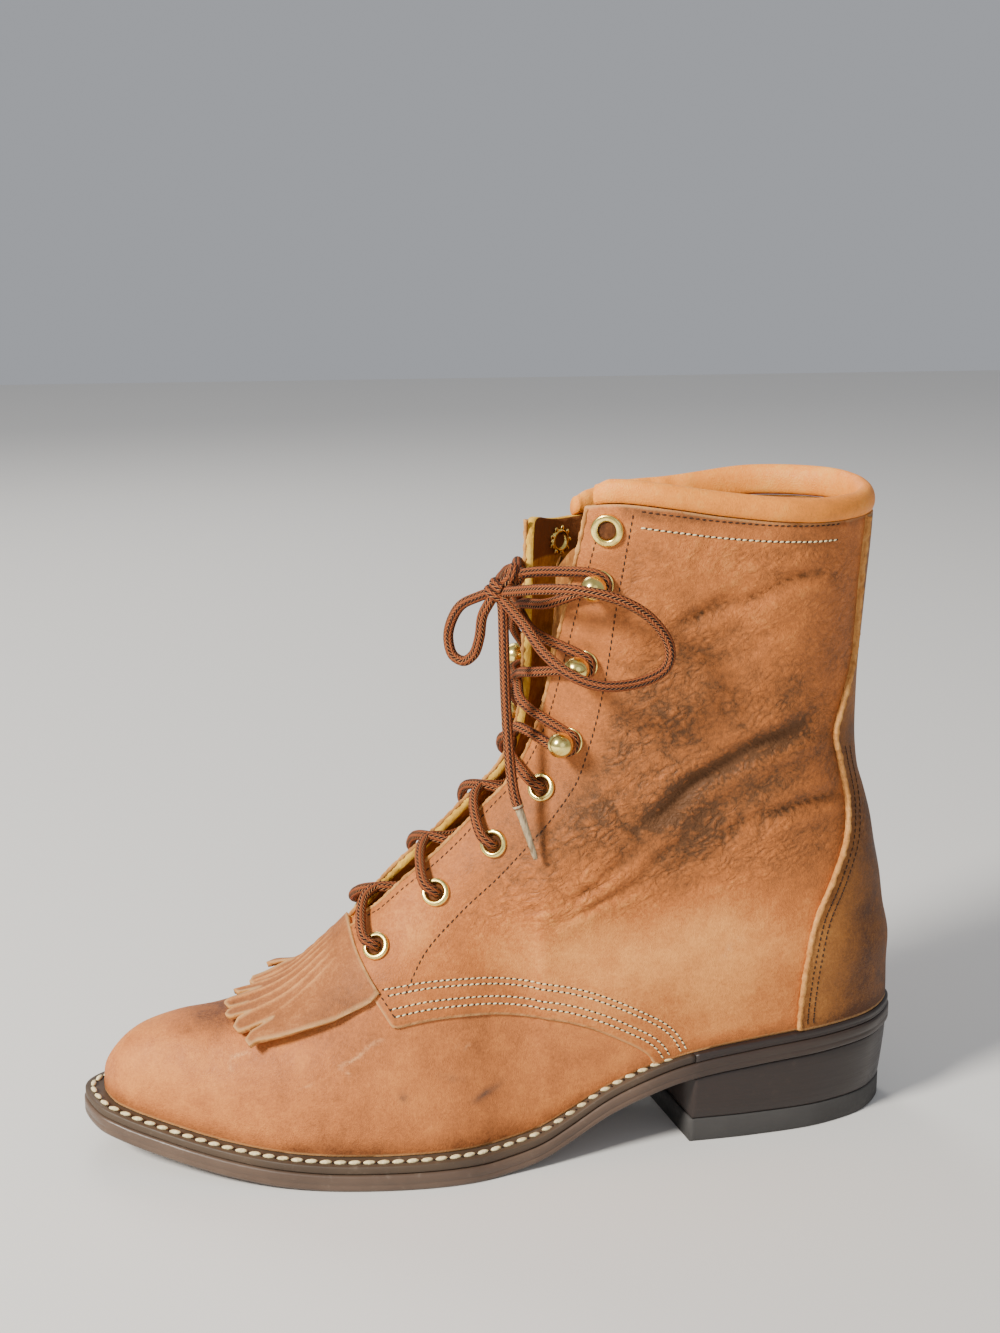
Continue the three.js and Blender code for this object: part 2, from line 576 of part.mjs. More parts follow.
// Region prisms of the quarters and of the counter.
function quarterPrism(grow = 0) {
  const edge = QUARTER_EDGE.map((row) => spot({ x: row.x, h: row.h }));
  const far = 0.7 * SOLE_LENGTH;
  const sky = 2 * UPPER_HEIGHT;
  const moved = edge.map((p) => new THREE.Vector2(p.x - grow, p.y - grow));
  return prism([...moved, new THREE.Vector2(-0.3 * SOLE_LENGTH, sky),
    new THREE.Vector2(far, sky), new THREE.Vector2(far, -UPPER_HEIGHT),
    new THREE.Vector2(moved[0].x, -UPPER_HEIGHT)]);
}
function counterPrism() {
  const edge = COUNTER_EDGE.map((row) => spot(row));
  const far = 0.7 * SOLE_LENGTH;
  return prism([new THREE.Vector2(edge[0].x, -UPPER_HEIGHT), new THREE.Vector2(far, -UPPER_HEIGHT),
    new THREE.Vector2(far, 2 * UPPER_HEIGHT),
    new THREE.Vector2(edge[edge.length - 1].x, 2 * UPPER_HEIGHT), ...edge.reverse()]);
}

// Height of an eyelet's inner flange, under the wall it clamps.
const INNER_FLANGE = -(WALL + OVERLAY) - 4 * GAP;

// Upper: vamp, quarters and counter as steps of one wall, hollow, open at the throat, the collar
// and underneath, with a hole under each eyelet and a flat seat under each flange and hook.
function upper() {
  const high = UPPER_HEIGHT * 2;
  const below = block(() => -UPPER_HEIGHT, (x) => seat(x) + GAP, BALL_WIDTH);
  const above = block(cutEdge, () => high, BALL_WIDTH);
  let body = form(0)
    .add(form(QUARTER).intersect(quarterPrism()))
    .add(form(COUNTER).intersect(counterPrism()))
    .subtract(form(-WALL))
    .subtract(throat(0))
    .subtract(below)
    .subtract(above);
  const cut = (point, normal, radius, from, long) => {
    const drill = new THREE.CylinderGeometry(radius, radius, long, ROUND_SIDES);
    const centre = point.clone().addScaledVector(normal, from + long / 2);
    body = body.subtract(solid(drill, placed(centre, normal)));
  };
  const room = 3 * WALL;
  eyelets.forEach(({ row, point, normal }) => {
    cut(point, normal, row.hole / 2 + 1 + 2 * GAP, -room, 2 * room);
    cut(point, normal, row.flange / 2 + 2 * GAP, FITTING_SEAT - GAP, room);
    cut(point, normal, row.hole / 2 + 2 + 2 * GAP, INNER_FLANGE + GAP - room, room);
  });
  hooks.forEach(({ point, normal }) => {
    cut(point, normal, HOOK_BASE / 2 + 2 * GAP, FITTING_SEAT - GAP, room);
  });
  return body;
}

// Sole slabs: a stack of loops of the outline, each inset and at a height of its own.
function slab(layers) {
  return solid(loft(layers.map(({ inset, height }) => outline(typeof inset === "number" ? () => inset : inset)
    .map((p) => new THREE.Vector3(p.x, p.y, height(p.x))))));
}
const BREAST_X = 0.5 * SOLE_LENGTH - HEEL_LENGTH;
function behindBreast(shift) {
  const long = SOLE_LENGTH;
  const turn = new THREE.Matrix4().makeRotationZ(THREE.MathUtils.degToRad(BREAST_SLANT));
  const move = new THREE.Matrix4().makeTranslation(BREAST_X + shift, 0, 0);
  const away = new THREE.Matrix4().makeTranslation(long / 2, 0, 0);
  return solid(new THREE.BoxGeometry(long, long, long), move.multiply(turn).multiply(away));
}

const EDGE_ROUND = 1;
const outsoleTop = (x) => seat(x) - WELT_THICKNESS - GAP;
function outsole() {
  const body = slab([
    { inset: EDGE_ROUND, height: underside },
    { inset: 0, height: (x) => underside(x) + EDGE_ROUND },
    { inset: 0, height: (x) => outsoleTop(x) - EDGE_ROUND / 2 },
    { inset: EDGE_ROUND / 2, height: outsoleTop },
  ]);
  const rand = slab([
    { inset: EDGE_ROUND / 2, height: (x) => outsoleTop(x) - EDGE_ROUND },
    { inset: EDGE_ROUND / 2, height: (x) => seat(x) - EDGE_ROUND / 2 },
    { inset: EDGE_ROUND, height: seat },
  ]);
  return body.add(rand.intersect(behindBreast(0)));
}
function welt() {
  const strip = slab([
    { inset: 0.8, height: (x) => seat(x) - WELT_THICKNESS },
    { inset: 0.4, height: (x) => seat(x) - WELT_THICKNESS / 2 },
    { inset: 0.8, height: seat },
  ]);
  const inside = (x) => shelf(x) + WALL + 2.5;
  const middle = slab([
    { inset: inside, height: (x) => seat(x) - WELT_THICKNESS - BEYOND },
    { inset: inside, height: (x) => seat(x) + BEYOND },
  ]);
  return strip.subtract(middle).subtract(behindBreast(-GAP));
}
function insole() {
  const inside = (x) => shelf(x) + WALL + 14 * GAP;
  return slab([
    { inset: inside, height: (x) => seat(x) + GAP },
    { inset: inside, height: (x) => seat(x) + GAP + INSOLE_THICKNESS },
  ]);
}
function heelBase() {
  const taper = (share) => EDGE_ROUND + HEEL_TAPER * share;
  return slab([
    { inset: taper(0.8), height: () => LIFT_THICKNESS + GAP },
    { inset: taper(0.3), height: (x) => mix(LIFT_THICKNESS, underside(x), 0.6) },
    { inset: taper(0), height: (x) => Math.max(underside(x) - GAP, LIFT_THICKNESS + 2 * GAP) },
  ]).intersect(behindBreast(0));
}
function heelLift() {
  return slab([
    { inset: EDGE_ROUND + HEEL_TAPER, height: () => 0 },
    { inset: EDGE_ROUND + HEEL_TAPER * 0.7, height: () => EDGE_ROUND },
    { inset: EDGE_ROUND + HEEL_TAPER * 0.8, height: () => LIFT_THICKNESS },
  ]).intersect(behindBreast(-0.6));
}

// Cuff: a padded roll on the cut edge, from the lateral facing round the back to the medial one.
const CUFF_STEPS = 17;
const CUFF_SECTION = [
  { out: 0.2, up: 0 }, { out: 0.38, up: 0.3 }, { out: 0.34, up: 0.68 }, { out: 0.12, up: 0.94 },
  { out: -0.2, up: 1 }, { out: -0.47, up: 0.84 }, { out: -0.6, up: 0.5 }, { out: -0.5, up: 0 },
];
// Place on the skin at the cut edge, at a share of the way from the front line to the back one.
function onRim(share, sign) {
  let y = 0;
  let at = new THREE.Vector3();
  for (let i = 0; i < 4; i += 1) {
    const z = cutEdge(at.x, y);
    const x = mix(frontX(z), backX(z), share);
    y = sign * halfWidth(x, z);
    at = new THREE.Vector3(x, y, z);
  }
  return at;
}
function cuff() {
  const height = RIM[0].lateral;
  const lateralGap = throatLateral(height) * SHAFT_WIDTH;
  const medialGap = throatMedial(height) * SHAFT_WIDTH + CUFF_WIDTH;
  const side = (sign, gap) => {
    const points = [];
    for (let i = 0; i <= CUFF_STEPS; i += 1) {
      const at = onRim((1 - Math.cos((Math.PI * i) / CUFF_STEPS)) / 2, sign);
      if (Math.abs(at.y) > gap || at.x > HEEL_MIDDLE) points.push(at);
    }
    return points;
  };
  const path = [...side(-1, lateralGap), ...side(1, medialGap).reverse().slice(1)];
  const rings = path.map((p, i) => {
    const a = path[Math.max(i - 1, 0)];
    const b = path[Math.min(i + 1, path.length - 1)];
    const along = b.clone().sub(a).setZ(0).normalize();
    const out = new THREE.Vector3(along.y, -along.x, 0);
    return CUFF_SECTION.map((row) => p.clone()
      .addScaledVector(out, row.out * CUFF_WIDTH - WALL / 2 + QUARTER)
      .setZ(0)).map((at, j) => at.setZ(
      cutEdge(at.x, at.y) + 1.5 * GAP + CUFF_SECTION[j].up * (CUFF_HEIGHT - 1.5 * GAP),
    ));
  });
  return solid(loft(rings));
}

// Tongue: a slab inside the throat that rises to the vamp at its lower end.
const TONGUE_START = 0.29;
const TONGUE_END = 0.86;
const TONGUE_ROWS = 14;
const TONGUE_COLUMNS = 6;
function tongue() {
  const rings = [];
  for (let i = 0; i <= TONGUE_ROWS; i += 1) {
    const t = i / TONGUE_ROWS;
    const share = mix(TONGUE_START, TONGUE_END, t);
    const depth = mix(WALL + 3 * GAP, TONGUE_DEPTH, smooth(t / 0.2));
    const width = TONGUE_WIDTH * mix(0.8, 1, smooth(t / 0.5));
    const top = [];
    const bottom = [];
    for (let j = 0; j <= TONGUE_COLUMNS; j += 1) {
      const y = width * (j / TONGUE_COLUMNS - 0.5);
      top.push(acrossFront(share, y, -depth));
      bottom.push(acrossFront(share, y, -depth - TONGUE_THICKNESS));
    }
    rings.push([...top, ...bottom.reverse()]);
  }
  return solid(loft(rings));
}

// Kiltie: fringed flap on the vamp, cut between two larger forms, with its slits.
const KILTIE = [
  { x: -0.288, y: -0.25 }, { x: -0.309, y: -0.185 }, { x: -0.325, y: -0.105 },
  { x: -0.332, y: -0.015 }, { x: -0.331, y: 0.075 }, { x: -0.316, y: 0.155 }, { x: -0.292, y: 0.225 },
];
const KILTIE_NECK = { x: -0.186, lateral: -0.055, medial: 0.055 };
const KILTIE_SHOULDER = { x: -0.195, lateral: -0.275, medial: 0.26 };
// Half width of a tip, and where a slit opens and ends behind it.
const TIP_HALF = 0.024;
const SLIT_MOUTH = 0.012;
const SLIT_ROOT = 0.05;
function kiltie() {
  const at = (x, y) => new THREE.Vector2(x * SOLE_LENGTH, y * BALL_WIDTH);
  const points = [at(KILTIE_NECK.x, KILTIE_NECK.lateral), at(KILTIE_SHOULDER.x, KILTIE_SHOULDER.lateral)];
  KILTIE.forEach((tip, i) => {
    const next = KILTIE[i + 1];
    const before = KILTIE[i - 1];
    points.push(at(tip.x + (before ? 0.01 : 0), tip.y - TIP_HALF * (before ? 1 : 0.4)));
    points.push(at(tip.x, tip.y + TIP_HALF * 0.3));
    points.push(at(tip.x + 0.006, tip.y + TIP_HALF * (next ? 1.2 : 0.6)));
    if (next) {
      const middle = (tip.y + next.y) / 2;
      const slit = SLIT_WIDTH / BALL_WIDTH / 2;
      const mouth = Math.max(tip.x, next.x) + SLIT_MOUTH;
      points.push(at(mouth, middle - slit));
      points.push(at(Math.max(tip.x, next.x) + SLIT_ROOT, middle * 0.88));
      points.push(at(mouth, middle + slit));
    }
  });
  points.push(at(KILTIE_SHOULDER.x, KILTIE_SHOULDER.medial), at(KILTIE_NECK.x, KILTIE_NECK.medial));
  const plan = new THREE.ExtrudeGeometry(new THREE.Shape(points), { depth: UPPER_HEIGHT, bevelEnabled: false });
  const flap = solid(plan, new THREE.Matrix4().makeTranslation(0, 0, seat(KILTIE[3].x * SOLE_LENGTH)));
  const shell = form(KILTIE_THICKNESS + GAP).subtract(form(GAP));
  const tabs = quarterPrism(2 * GAP).subtract(throat(3 * GAP, THROAT_START - 0.06));
  const neck = at(KILTIE_NECK.x, 0).x - GAP;
  const wide = new THREE.BoxGeometry(SOLE_LENGTH, SOLE_LENGTH, SOLE_LENGTH);
  const past = solid(wide, new THREE.Matrix4().makeTranslation(neck + SOLE_LENGTH / 2, 0, 0));
  return shell.intersect(flap).subtract(tabs).subtract(past);
}

const ROUND_SIDES = 9;

// Eyelet: flange outside, barrel through the wall and a smaller flange inside, turned round +Y.
function eyeletGeometry({ flange, hole }) {
  const inner = hole / 2;
  const barrel = inner + 1;
  const outer = flange / 2;
  const crown = FITTING_SEAT + FLANGE_RISE;
  const profile = [
    [inner, INNER_FLANGE - 0.5], [inner, crown - 0.4], [inner + 0.6, crown], [outer - 0.7, crown],
    [outer, FITTING_SEAT], [barrel, FITTING_SEAT], [barrel, INNER_FLANGE],
    [barrel + 1, INNER_FLANGE], [barrel + 1, INNER_FLANGE - 0.5], [inner, INNER_FLANGE - 0.5],
  ];
  return new THREE.LatheGeometry(profile.map(([r, h]) => new THREE.Vector2(r, h)), ROUND_SIDES);
}

// Ball hook: base disc, neck and ball, turned round +Y.
const HOOK_DISC = 0.8;
const BALL_STEPS = 5;
const NECK_LENGTH = LACE_DIAMETER + 2 * GAP;
const BALL_CENTRE = FITTING_SEAT + HOOK_DISC + NECK_LENGTH + 0.33 * HOOK_BALL;
function hookGeometry() {
  const points = [new THREE.Vector2(0, FITTING_SEAT), new THREE.Vector2(HOOK_BASE / 2, FITTING_SEAT),
    new THREE.Vector2(HOOK_BASE / 2 - 0.4, FITTING_SEAT + HOOK_DISC),
    new THREE.Vector2(HOOK_NECK / 2, FITTING_SEAT + HOOK_DISC)];
  const start = Math.asin(HOOK_NECK / HOOK_BALL);
  for (let i = 0; i <= BALL_STEPS; i += 1) {
    const turn = mix(start, Math.PI, i / BALL_STEPS);
    const r = i === BALL_STEPS ? 0 : (HOOK_BALL / 2) * Math.sin(turn);
    points.push(new THREE.Vector2(r, BALL_CENTRE - (HOOK_BALL / 2) * Math.cos(turn)));
  }
  return new THREE.LatheGeometry(points, ROUND_SIDES);
}

// A round tube along chosen points, its ends closed.
function tube(points, radius, steps, around = 3) {
  const path = new THREE.CatmullRomCurve3(points, false, "centripetal");
  const section = new THREE.Shape();
  section.absarc(0, 0, radius, 0, 2 * Math.PI);
  const geometry = new THREE.ExtrudeGeometry(section, { steps, extrudePath: path, curveSegments: around });
  return solid(geometry);
}

// The two strands: each comes out of an eyelet, crosses the gap and dives under the other facing;
// higher up they cross from hook to hook and end under the knot.
const UNDER_FACING = INNER_FLANGE - 0.5 - GAP - LACE_RADIUS;
const OVER_FLANGE = FITTING_SEAT + FLANGE_RISE + GAP + LACE_RADIUS;
const OVER_DISC = FITTING_SEAT + HOOK_DISC + GAP + LACE_RADIUS;
const ROUND_NECK = HOOK_NECK / 2 + 1.7 * GAP + LACE_RADIUS;
const fittingAt = (list, number, sign) => list.find((it) => it.number === number && it.sign === sign);

// Point by a fitting: along the facing, towards the throat, and out along the normal.
function beside(it, along, throatward, up) {
  const ahead = new THREE.Vector3(-1, 0, 0.35).projectOnPlane(it.normal).normalize();
  const upward = new THREE.Vector3().crossVectors(it.normal, ahead).normalize();
  if (upward.z < 0) upward.negate();
  return it.point.clone().addScaledVector(ahead, throatward)
    .addScaledVector(upward, along).addScaledVector(it.normal, up);
}
// Share of the front line whose section passes a fitting.
function shareOf(it) {
  let best = 0;
  let nearest = Infinity;
  for (let share = THROAT_START; share < 1; share += 0.002) {
    const far = acrossFront(share, it.point.y, QUARTER).distanceTo(it.point);
    if (far < nearest) [best, nearest] = [share, far];
  }
  return best;
}
function strand(first) {
  const points = [];
  const lower = EYELETS.length - 1;
  const edge = OVERLAY + LACE_RADIUS + GAP;
  let sign = first;
  for (let n = 1; n <= lower; n += 1) {
    const it = fittingAt(eyelets, n, sign);
    const next = n < lower ? fittingAt(eyelets, n + 1, -sign) : fittingAt(hooks, 1, -sign);
    if (n > 1) points.push(beside(it, -1, 3.6, UNDER_FACING - 0.2), beside(it, 0, 0.1, UNDER_FACING + 0.9));
    points.push(beside(it, 0, 0, -WALL - OVERLAY), beside(it, 0, 0, 0.8));
    points.push(beside(it, 0, 0.1, OVER_FLANGE - 0.8), beside(it, 1.4, 3.4, OVER_FLANGE + 0.3));
    const [from, to] = [shareOf(it), shareOf(next)];
    const half = (side) => (side < 0 ? throatLateral : throatMedial)(it.row.h) * SHAFT_WIDTH;
    points.push(acrossFront(mix(from, to, 0.3), sign * (half(sign) + 0.6), edge + 0.9));
    points.push(acrossFront(mix(from, to, 0.52), 0, 1.2));
    const dive = -WALL - LACE_RADIUS - 6 * GAP;
    points.push(n < lower
      ? acrossFront(mix(from, to, 0.72), -sign * (half(-sign) - 2.6), dive)
      : acrossFront(mix(from, to, 0.78), -sign * (half(-sign) + 1), edge + 1));
    sign = -sign;
  }
  for (let n = 1; n <= HOOKS.length; n += 1) {
    const it = fittingAt(hooks, n, sign);
    const turn = (along, across) => beside(it, along * ROUND_NECK, across * ROUND_NECK, OVER_DISC);
    points.push(turn(-1.08, 0.7), turn(-0.96, -0.48), turn(0, -1.12), turn(0.96, -0.48), turn(1.08, 0.7));
    if (n < HOOKS.length) {
      const next = fittingAt(hooks, n + 1, -sign);
      const [from, to] = [shareOf(it), shareOf(next)];
      const half = (side, row) => (side < 0 ? throatLateral : throatMedial)(row.h) * SHAFT_WIDTH;
      points.push(acrossFront(mix(from, to, 0.3), sign * half(sign, it.row), edge + 1.5));
      points.push(acrossFront(mix(from, to, 0.5), 0, 2.5));
      points.push(acrossFront(mix(from, to, 0.7), -sign * half(-sign, next.row), edge + 1.5));
    }
    sign = -sign;
  }
  const last = -sign < 0 ? TO_KNOT_LATERAL : TO_KNOT_MEDIAL;
  points.push(...last.map((p) => new THREE.Vector3(...p)));
  return points;
}

// Bow: the knot over the tongue, its two loops, and the hanging ends with their tips.
const KNOT = [-2, -15, 206];
const HALF_KNOT = [3.8, -14.3, 211.2];
const TO_KNOT_LATERAL = [[17, -24.5, 214.2], [9.5, -18, 212.9], [4.2, -14.8, 211.4]];
const TO_KNOT_MEDIAL = [[8, 4, 212.6], [5.8, -7.5, 212.2], [4.2, -13.6, 211.5]];
const LOOP_LATERAL = [
  [-1, -17, 206], [4, -27, 208.5], [10, -38, 211], [20, -47, 212], [33, -50, 209], [44, -49.5, 202],
  [50.5, -48.5, 192], [49.5, -48, 185], [42, -49, 181], [28, -50, 180], [18, -46.5, 183],
  [10, -38, 189], [5, -28, 196.5], [-1, -18, 203.5],
];
const LOOP_MEDIAL = [
  [-3, -14, 206], [-8, -11, 203.6], [-14, -8, 200], [-17.3, -5, 193], [-18, -4, 187], [-16.5, -5, 181.5],
  [-13, -7, 179.8], [-9.8, -9, 182.5], [-8, -11, 189], [-7, -12, 197], [-3.6, -13.6, 204],
];
const END_LATERAL = [
  [-1, -14.8, 204.5], [-0.6, -16.2, 199.2], [-0.8, -18.8, 193], [-1, -22, 183], [-1, -25, 170],
  [0, -28, 156], [0, -31, 146], [1, -33, 137], [3, -34, 128], [6, -34, 121], [8, -34, 115],
];
const END_MEDIAL = [
  [-1.7, -13.5, 206.2], [-1, -8, 206.3], [1, 2, 206], [4, 14, 205.5], [10, 26.5, 205.5], [21, 34.5, 197],
  [28.5, 37.5, 182], [30, 37.5, 168], [29, 37, 152], [27, 36.6, 140], [24, 36, 132], [21.5, 35.6, 123],
];
const STRAND_STEPS = 86;
const vectors = (rows) => rows.map((row) => new THREE.Vector3(...row));
function knot(grow) {
  const ball = (centre, size) => solid(
    new THREE.SphereGeometry(size / 2 + grow, ROUND_SIDES, ROUND_SIDES - 3),
    new THREE.Matrix4().makeTranslation(...centre),
  );
  return ball(KNOT, KNOT_SIZE).add(ball(HALF_KNOT, 0.8 * KNOT_SIZE));
}
const bow = () => knot(0).add(tube(vectors(LOOP_LATERAL), LACE_RADIUS, 30))
  .add(tube(vectors(LOOP_MEDIAL), LACE_RADIUS, 20));
const laceEnd = (rows, steps) => tube(vectors(rows), LACE_RADIUS, steps).subtract(knot(GAP));
const crossings = () => tube(strand(-1), LACE_RADIUS, STRAND_STEPS)
  .add(tube(strand(1), LACE_RADIUS, STRAND_STEPS)).subtract(knot(GAP));

const material = (finish) => new THREE.MeshStandardMaterial(finish);
const boot = new THREE.Group();
function put(name, geometry, finish) {
  const mesh = new THREE.Mesh(geometry, material(finish));
  mesh.name = name;
  boot.add(mesh);
  return mesh;
}

put("outsole", geometryOf(outsole()), SOLE_BROWN);
put("welt", geometryOf(welt()), SOLE_BROWN);
put("heel_base", geometryOf(heelBase()), SOLE_BROWN);
put("heel_lift", geometryOf(heelLift()), LIFT_GREY);
put("insole", geometryOf(insole()), SUEDE);
put("upper", geometryOf(upper()), LEATHER);
put("collar_cuff", geometryOf(cuff()), CUFF_TAN);
put("tongue", geometryOf(tongue()), SUEDE);
put("kiltie", geometryOf(kiltie()), LEATHER);
put("lace_crossings", geometryOf(crossings()), LACE_BROWN);
for (const { row, number, side, point, normal } of eyelets) {
  const ring = put(`eyelet_${side}_${number}`, geometryOf(solid(eyeletGeometry(row))), BRASS);
  ring.position.copy(point);
  ring.quaternion.setFromUnitVectors(UP, normal);
}
for (const { number, side, point, normal } of hooks) {
  const hook = put(`hook_${side}_${number}`, geometryOf(solid(hookGeometry())), BRASS);
  hook.position.copy(point);
  hook.quaternion.setFromUnitVectors(UP, normal);
}

put("lace_bow", geometryOf(bow()), LACE_BROWN);
put("lace_end_lateral", geometryOf(laceEnd(END_LATERAL, 16)), LACE_BROWN);
put("lace_end_medial", geometryOf(laceEnd(END_MEDIAL, 20)), LACE_BROWN);

// The origin is the middle of the box of all but the loose laces, on the floor.
const LOOSE = ["lace_bow", "lace_end_lateral", "lace_end_medial"];
const box = new THREE.Box3();
boot.updateMatrixWorld(true);
const standing = boot.children.filter((mesh) => !LOOSE.includes(mesh.name));
standing.forEach((mesh) => box.expandByObject(mesh, true));
const middle = box.getCenter(new THREE.Vector3()).setZ(box.min.z);
boot.children.forEach((mesh) => mesh.position.sub(middle));

export default boot;
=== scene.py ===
"""Looks of the left lace-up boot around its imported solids.

Sizes are in millimetres, and meshes are scaled to metres when they are made. The toe points to -X,
the heel to +X, the outer (lateral) side is -Y and the floor is z = 0.
"""

import math

import bmesh
import bpy
import numpy as np
from mathutils import Matrix, Vector
from mathutils.bvhtree import BVHTree


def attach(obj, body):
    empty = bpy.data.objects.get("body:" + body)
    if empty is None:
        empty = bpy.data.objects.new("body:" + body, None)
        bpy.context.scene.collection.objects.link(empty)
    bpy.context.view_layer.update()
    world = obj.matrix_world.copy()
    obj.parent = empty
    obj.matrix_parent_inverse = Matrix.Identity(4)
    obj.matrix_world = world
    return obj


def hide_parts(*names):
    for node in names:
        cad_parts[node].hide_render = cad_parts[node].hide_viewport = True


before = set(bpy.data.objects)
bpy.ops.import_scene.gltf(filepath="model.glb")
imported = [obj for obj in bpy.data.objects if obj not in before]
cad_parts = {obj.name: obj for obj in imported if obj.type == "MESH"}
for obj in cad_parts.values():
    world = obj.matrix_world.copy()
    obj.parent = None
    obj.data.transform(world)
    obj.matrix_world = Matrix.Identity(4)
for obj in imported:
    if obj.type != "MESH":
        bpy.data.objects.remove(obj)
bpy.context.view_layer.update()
MM = 0.001

# Driving sizes, the same as the solids'.
SOLE_LENGTH = 305
BALL_WIDTH = 100
TOE_SPRING = 13
HEEL_RISE = 32
LIFT_THICKNESS = 9
OUTSOLE_THICKNESS = 6.2
WELT_THICKNESS = 3
WELT_SHELF = 7.5
HEEL_SHELF = 4
INSOLE_THICKNESS = 3
HEEL_LENGTH = 90
BREAST_SLANT = 9
HEEL_TAPER = 2.4
UPPER_HEIGHT = 200
SHAFT_WIDTH = 76
WALL = 1.8
OVERLAY = 1.3
CUFF_HEIGHT = 8.4
CUFF_WIDTH = 7.4
TONGUE_THICKNESS = 2
TONGUE_WIDTH = 40
TONGUE_DEPTH = 10.6
KILTIE_THICKNESS = 2
LACE_DIAMETER = 3.7
LACE_RADIUS = LACE_DIAMETER / 2
GAP = 0.3
SEAT_THICKNESS = OUTSOLE_THICKNESS + GAP + WELT_THICKNESS

# Outline of the sole from the toe tip along the lateral side, in shares of its length and width.
OUTLINE = (
    (-0.5, 0.06), (-0.482, -0.1), (-0.455, -0.17), (-0.415, -0.24), (-0.36, -0.325), (-0.27, -0.428),
    (-0.19, -0.48), (-0.11, -0.5), (-0.055, -0.488), (0, -0.445), (0.098, -0.378), (0.197, -0.345),
    (0.295, -0.33), (0.393, -0.285), (0.466, -0.175), (0.5, 0), (0.466, 0.17), (0.393, 0.28),
    (0.295, 0.325), (0.197, 0.32), (0.115, 0.31), (0.033, 0.335), (-0.066, 0.415), (-0.164, 0.49),
    (-0.246, 0.495), (-0.328, 0.445), (-0.41, 0.35), (-0.472, 0.215),
)
# Underside: station, share of the toe spring, share of the heel rise.
UNDERSIDE = (
    (-0.5, 1, 0), (-0.43, 0.64, 0), (-0.377, 0.41, 0), (-0.328, 0.22, 0), (-0.28, 0.09, 0),
    (-0.23, 0.02, 0), (-0.19, 0, 0), (-0.06, 0, 0), (-0.02, 0, 0.01), (0.03, 0, 0.09),
    (0.066, 0, 0.24), (0.115, 0, 0.49), (0.164, 0, 0.67), (0.205, 0, 0.785), (0.262, 0, 0.88),
    (0.36, 0, 0.96), (0.5, 0, 1),
)
# Side silhouettes: station as a share of the sole length, height over the seat as a share.
FRONT = (
    (-0.4755, -0.02), (-0.4755, 0.02), (-0.472, 0.055), (-0.457, 0.095), (-0.43, 0.135),
    (-0.385, 0.168), (-0.335, 0.19), (-0.28, 0.228), (-0.228, 0.285), (-0.18, 0.355),
    (-0.15, 0.407), (-0.115, 0.465), (-0.082, 0.51), (-0.052, 0.555), (-0.024, 0.593),
    (0.002, 0.625), (0.017, 0.665), (0.026, 0.71), (0.032, 0.78), (0.034, 0.9), (0.036, 1.05),
    (0.036, 1.24),
)
BACK = (
    (0.487, -0.02), (0.486, 0.03), (0.484, 0.08), (0.483, 0.135), (0.474, 0.193), (0.467, 0.258),
    (0.458, 0.318), (0.451, 0.373), (0.442, 0.422), (0.433, 0.465), (0.427, 0.528), (0.425, 0.598),
    (0.425, 0.672), (0.428, 0.742), (0.431, 0.812), (0.434, 0.888), (0.435, 0.97), (0.435, 1.04),
)
SHAFT = ((0, 0.4), (0.12, 0.415), (0.3, 0.41), (0.5, 0.42), (0.7, 0.445), (0.9, 0.47), (1.1, 0.48))
FULLNESS = ((-0.48, 2.7), (-0.36, 2.6), (-0.24, 2.1), (-0.12, 1.75), (0.1, 1.7))
# Cuff's top edge: station, lateral and medial height shares.
RIM = (
    (0.03, 1.19, 1.09), (0.095, 1.13, 1.04), (0.216, 1.038, 0.99), (0.334, 0.995, 0.99),
    (0.44, 0.985, 0.987),
)
# Throat: height share, half gap on the lateral and the medial side as shares of the shaft width.
THROAT = (
    (0.385, 0.06, 0.06), (0.41, 0.1, 0.1), (0.5, 0.115, 0.115), (0.63, 0.13, 0.125),
    (0.78, 0.2, 0.13), (0.95, 0.28, 0.13), (1.15, 0.355, 0.135), (1.3, 0.38, 0.14),
)
QUARTER_LOWER = (
    (0.18, -0.06), (0.167, 0.02), (0.129, 0.083), (0.081, 0.153), (0.022, 0.212), (-0.038, 0.236),
    (-0.097, 0.235), (-0.139, 0.224),
)
QUARTER_FRONT = (
    (-0.139, 0.224), (-0.153, 0.258), (-0.168, 0.294), (-0.181, 0.335), (-0.186, 0.37), (-0.21, 0.6),
)
COUNTER_EDGE = (
    (0.35, -0.06), (0.351, 0.066), (0.354, 0.149), (0.363, 0.224), (0.383, 0.292), (0.401, 0.359),
    (0.405, 0.429), (0.394, 0.496), (0.383, 0.557), (0.393, 0.617), (0.407, 0.684), (0.41, 0.776),
    (0.412, 0.867), (0.415, 0.937), (0.416, 1.06),
)
# Fittings: lateral station and height share, then the medial ones.
EYELETS = (
    (-0.151, 0.351, -0.151, 0.351), (-0.081, 0.443, -0.081, 0.443), (-0.013, 0.53, -0.015, 0.528),
    (0.042, 0.614, 0.036, 0.608), (0.108, 1.025, 0.084, 0.98),
)
HOOKS = ((0.073, 0.679, 0.055, 0.67), (0.0875, 0.808, 0.059, 0.785), (0.1015, 0.938, 0.063, 0.9))
# Sections of the skin: share of the front line, share of the base line, steps to the next row.
STATIONS = ((0, 0, 50), (0.18, 0.085, 50), (0.345, 0.27, 74), (0.6, 0.595, 84), (1, 1, 0))
SIDE = 104


def mix(a, b, t):
    return a + (b - a) * t


def smooth(t):
    t = np.clip(t, 0, 1)
    return t * t * (3 - 2 * t)


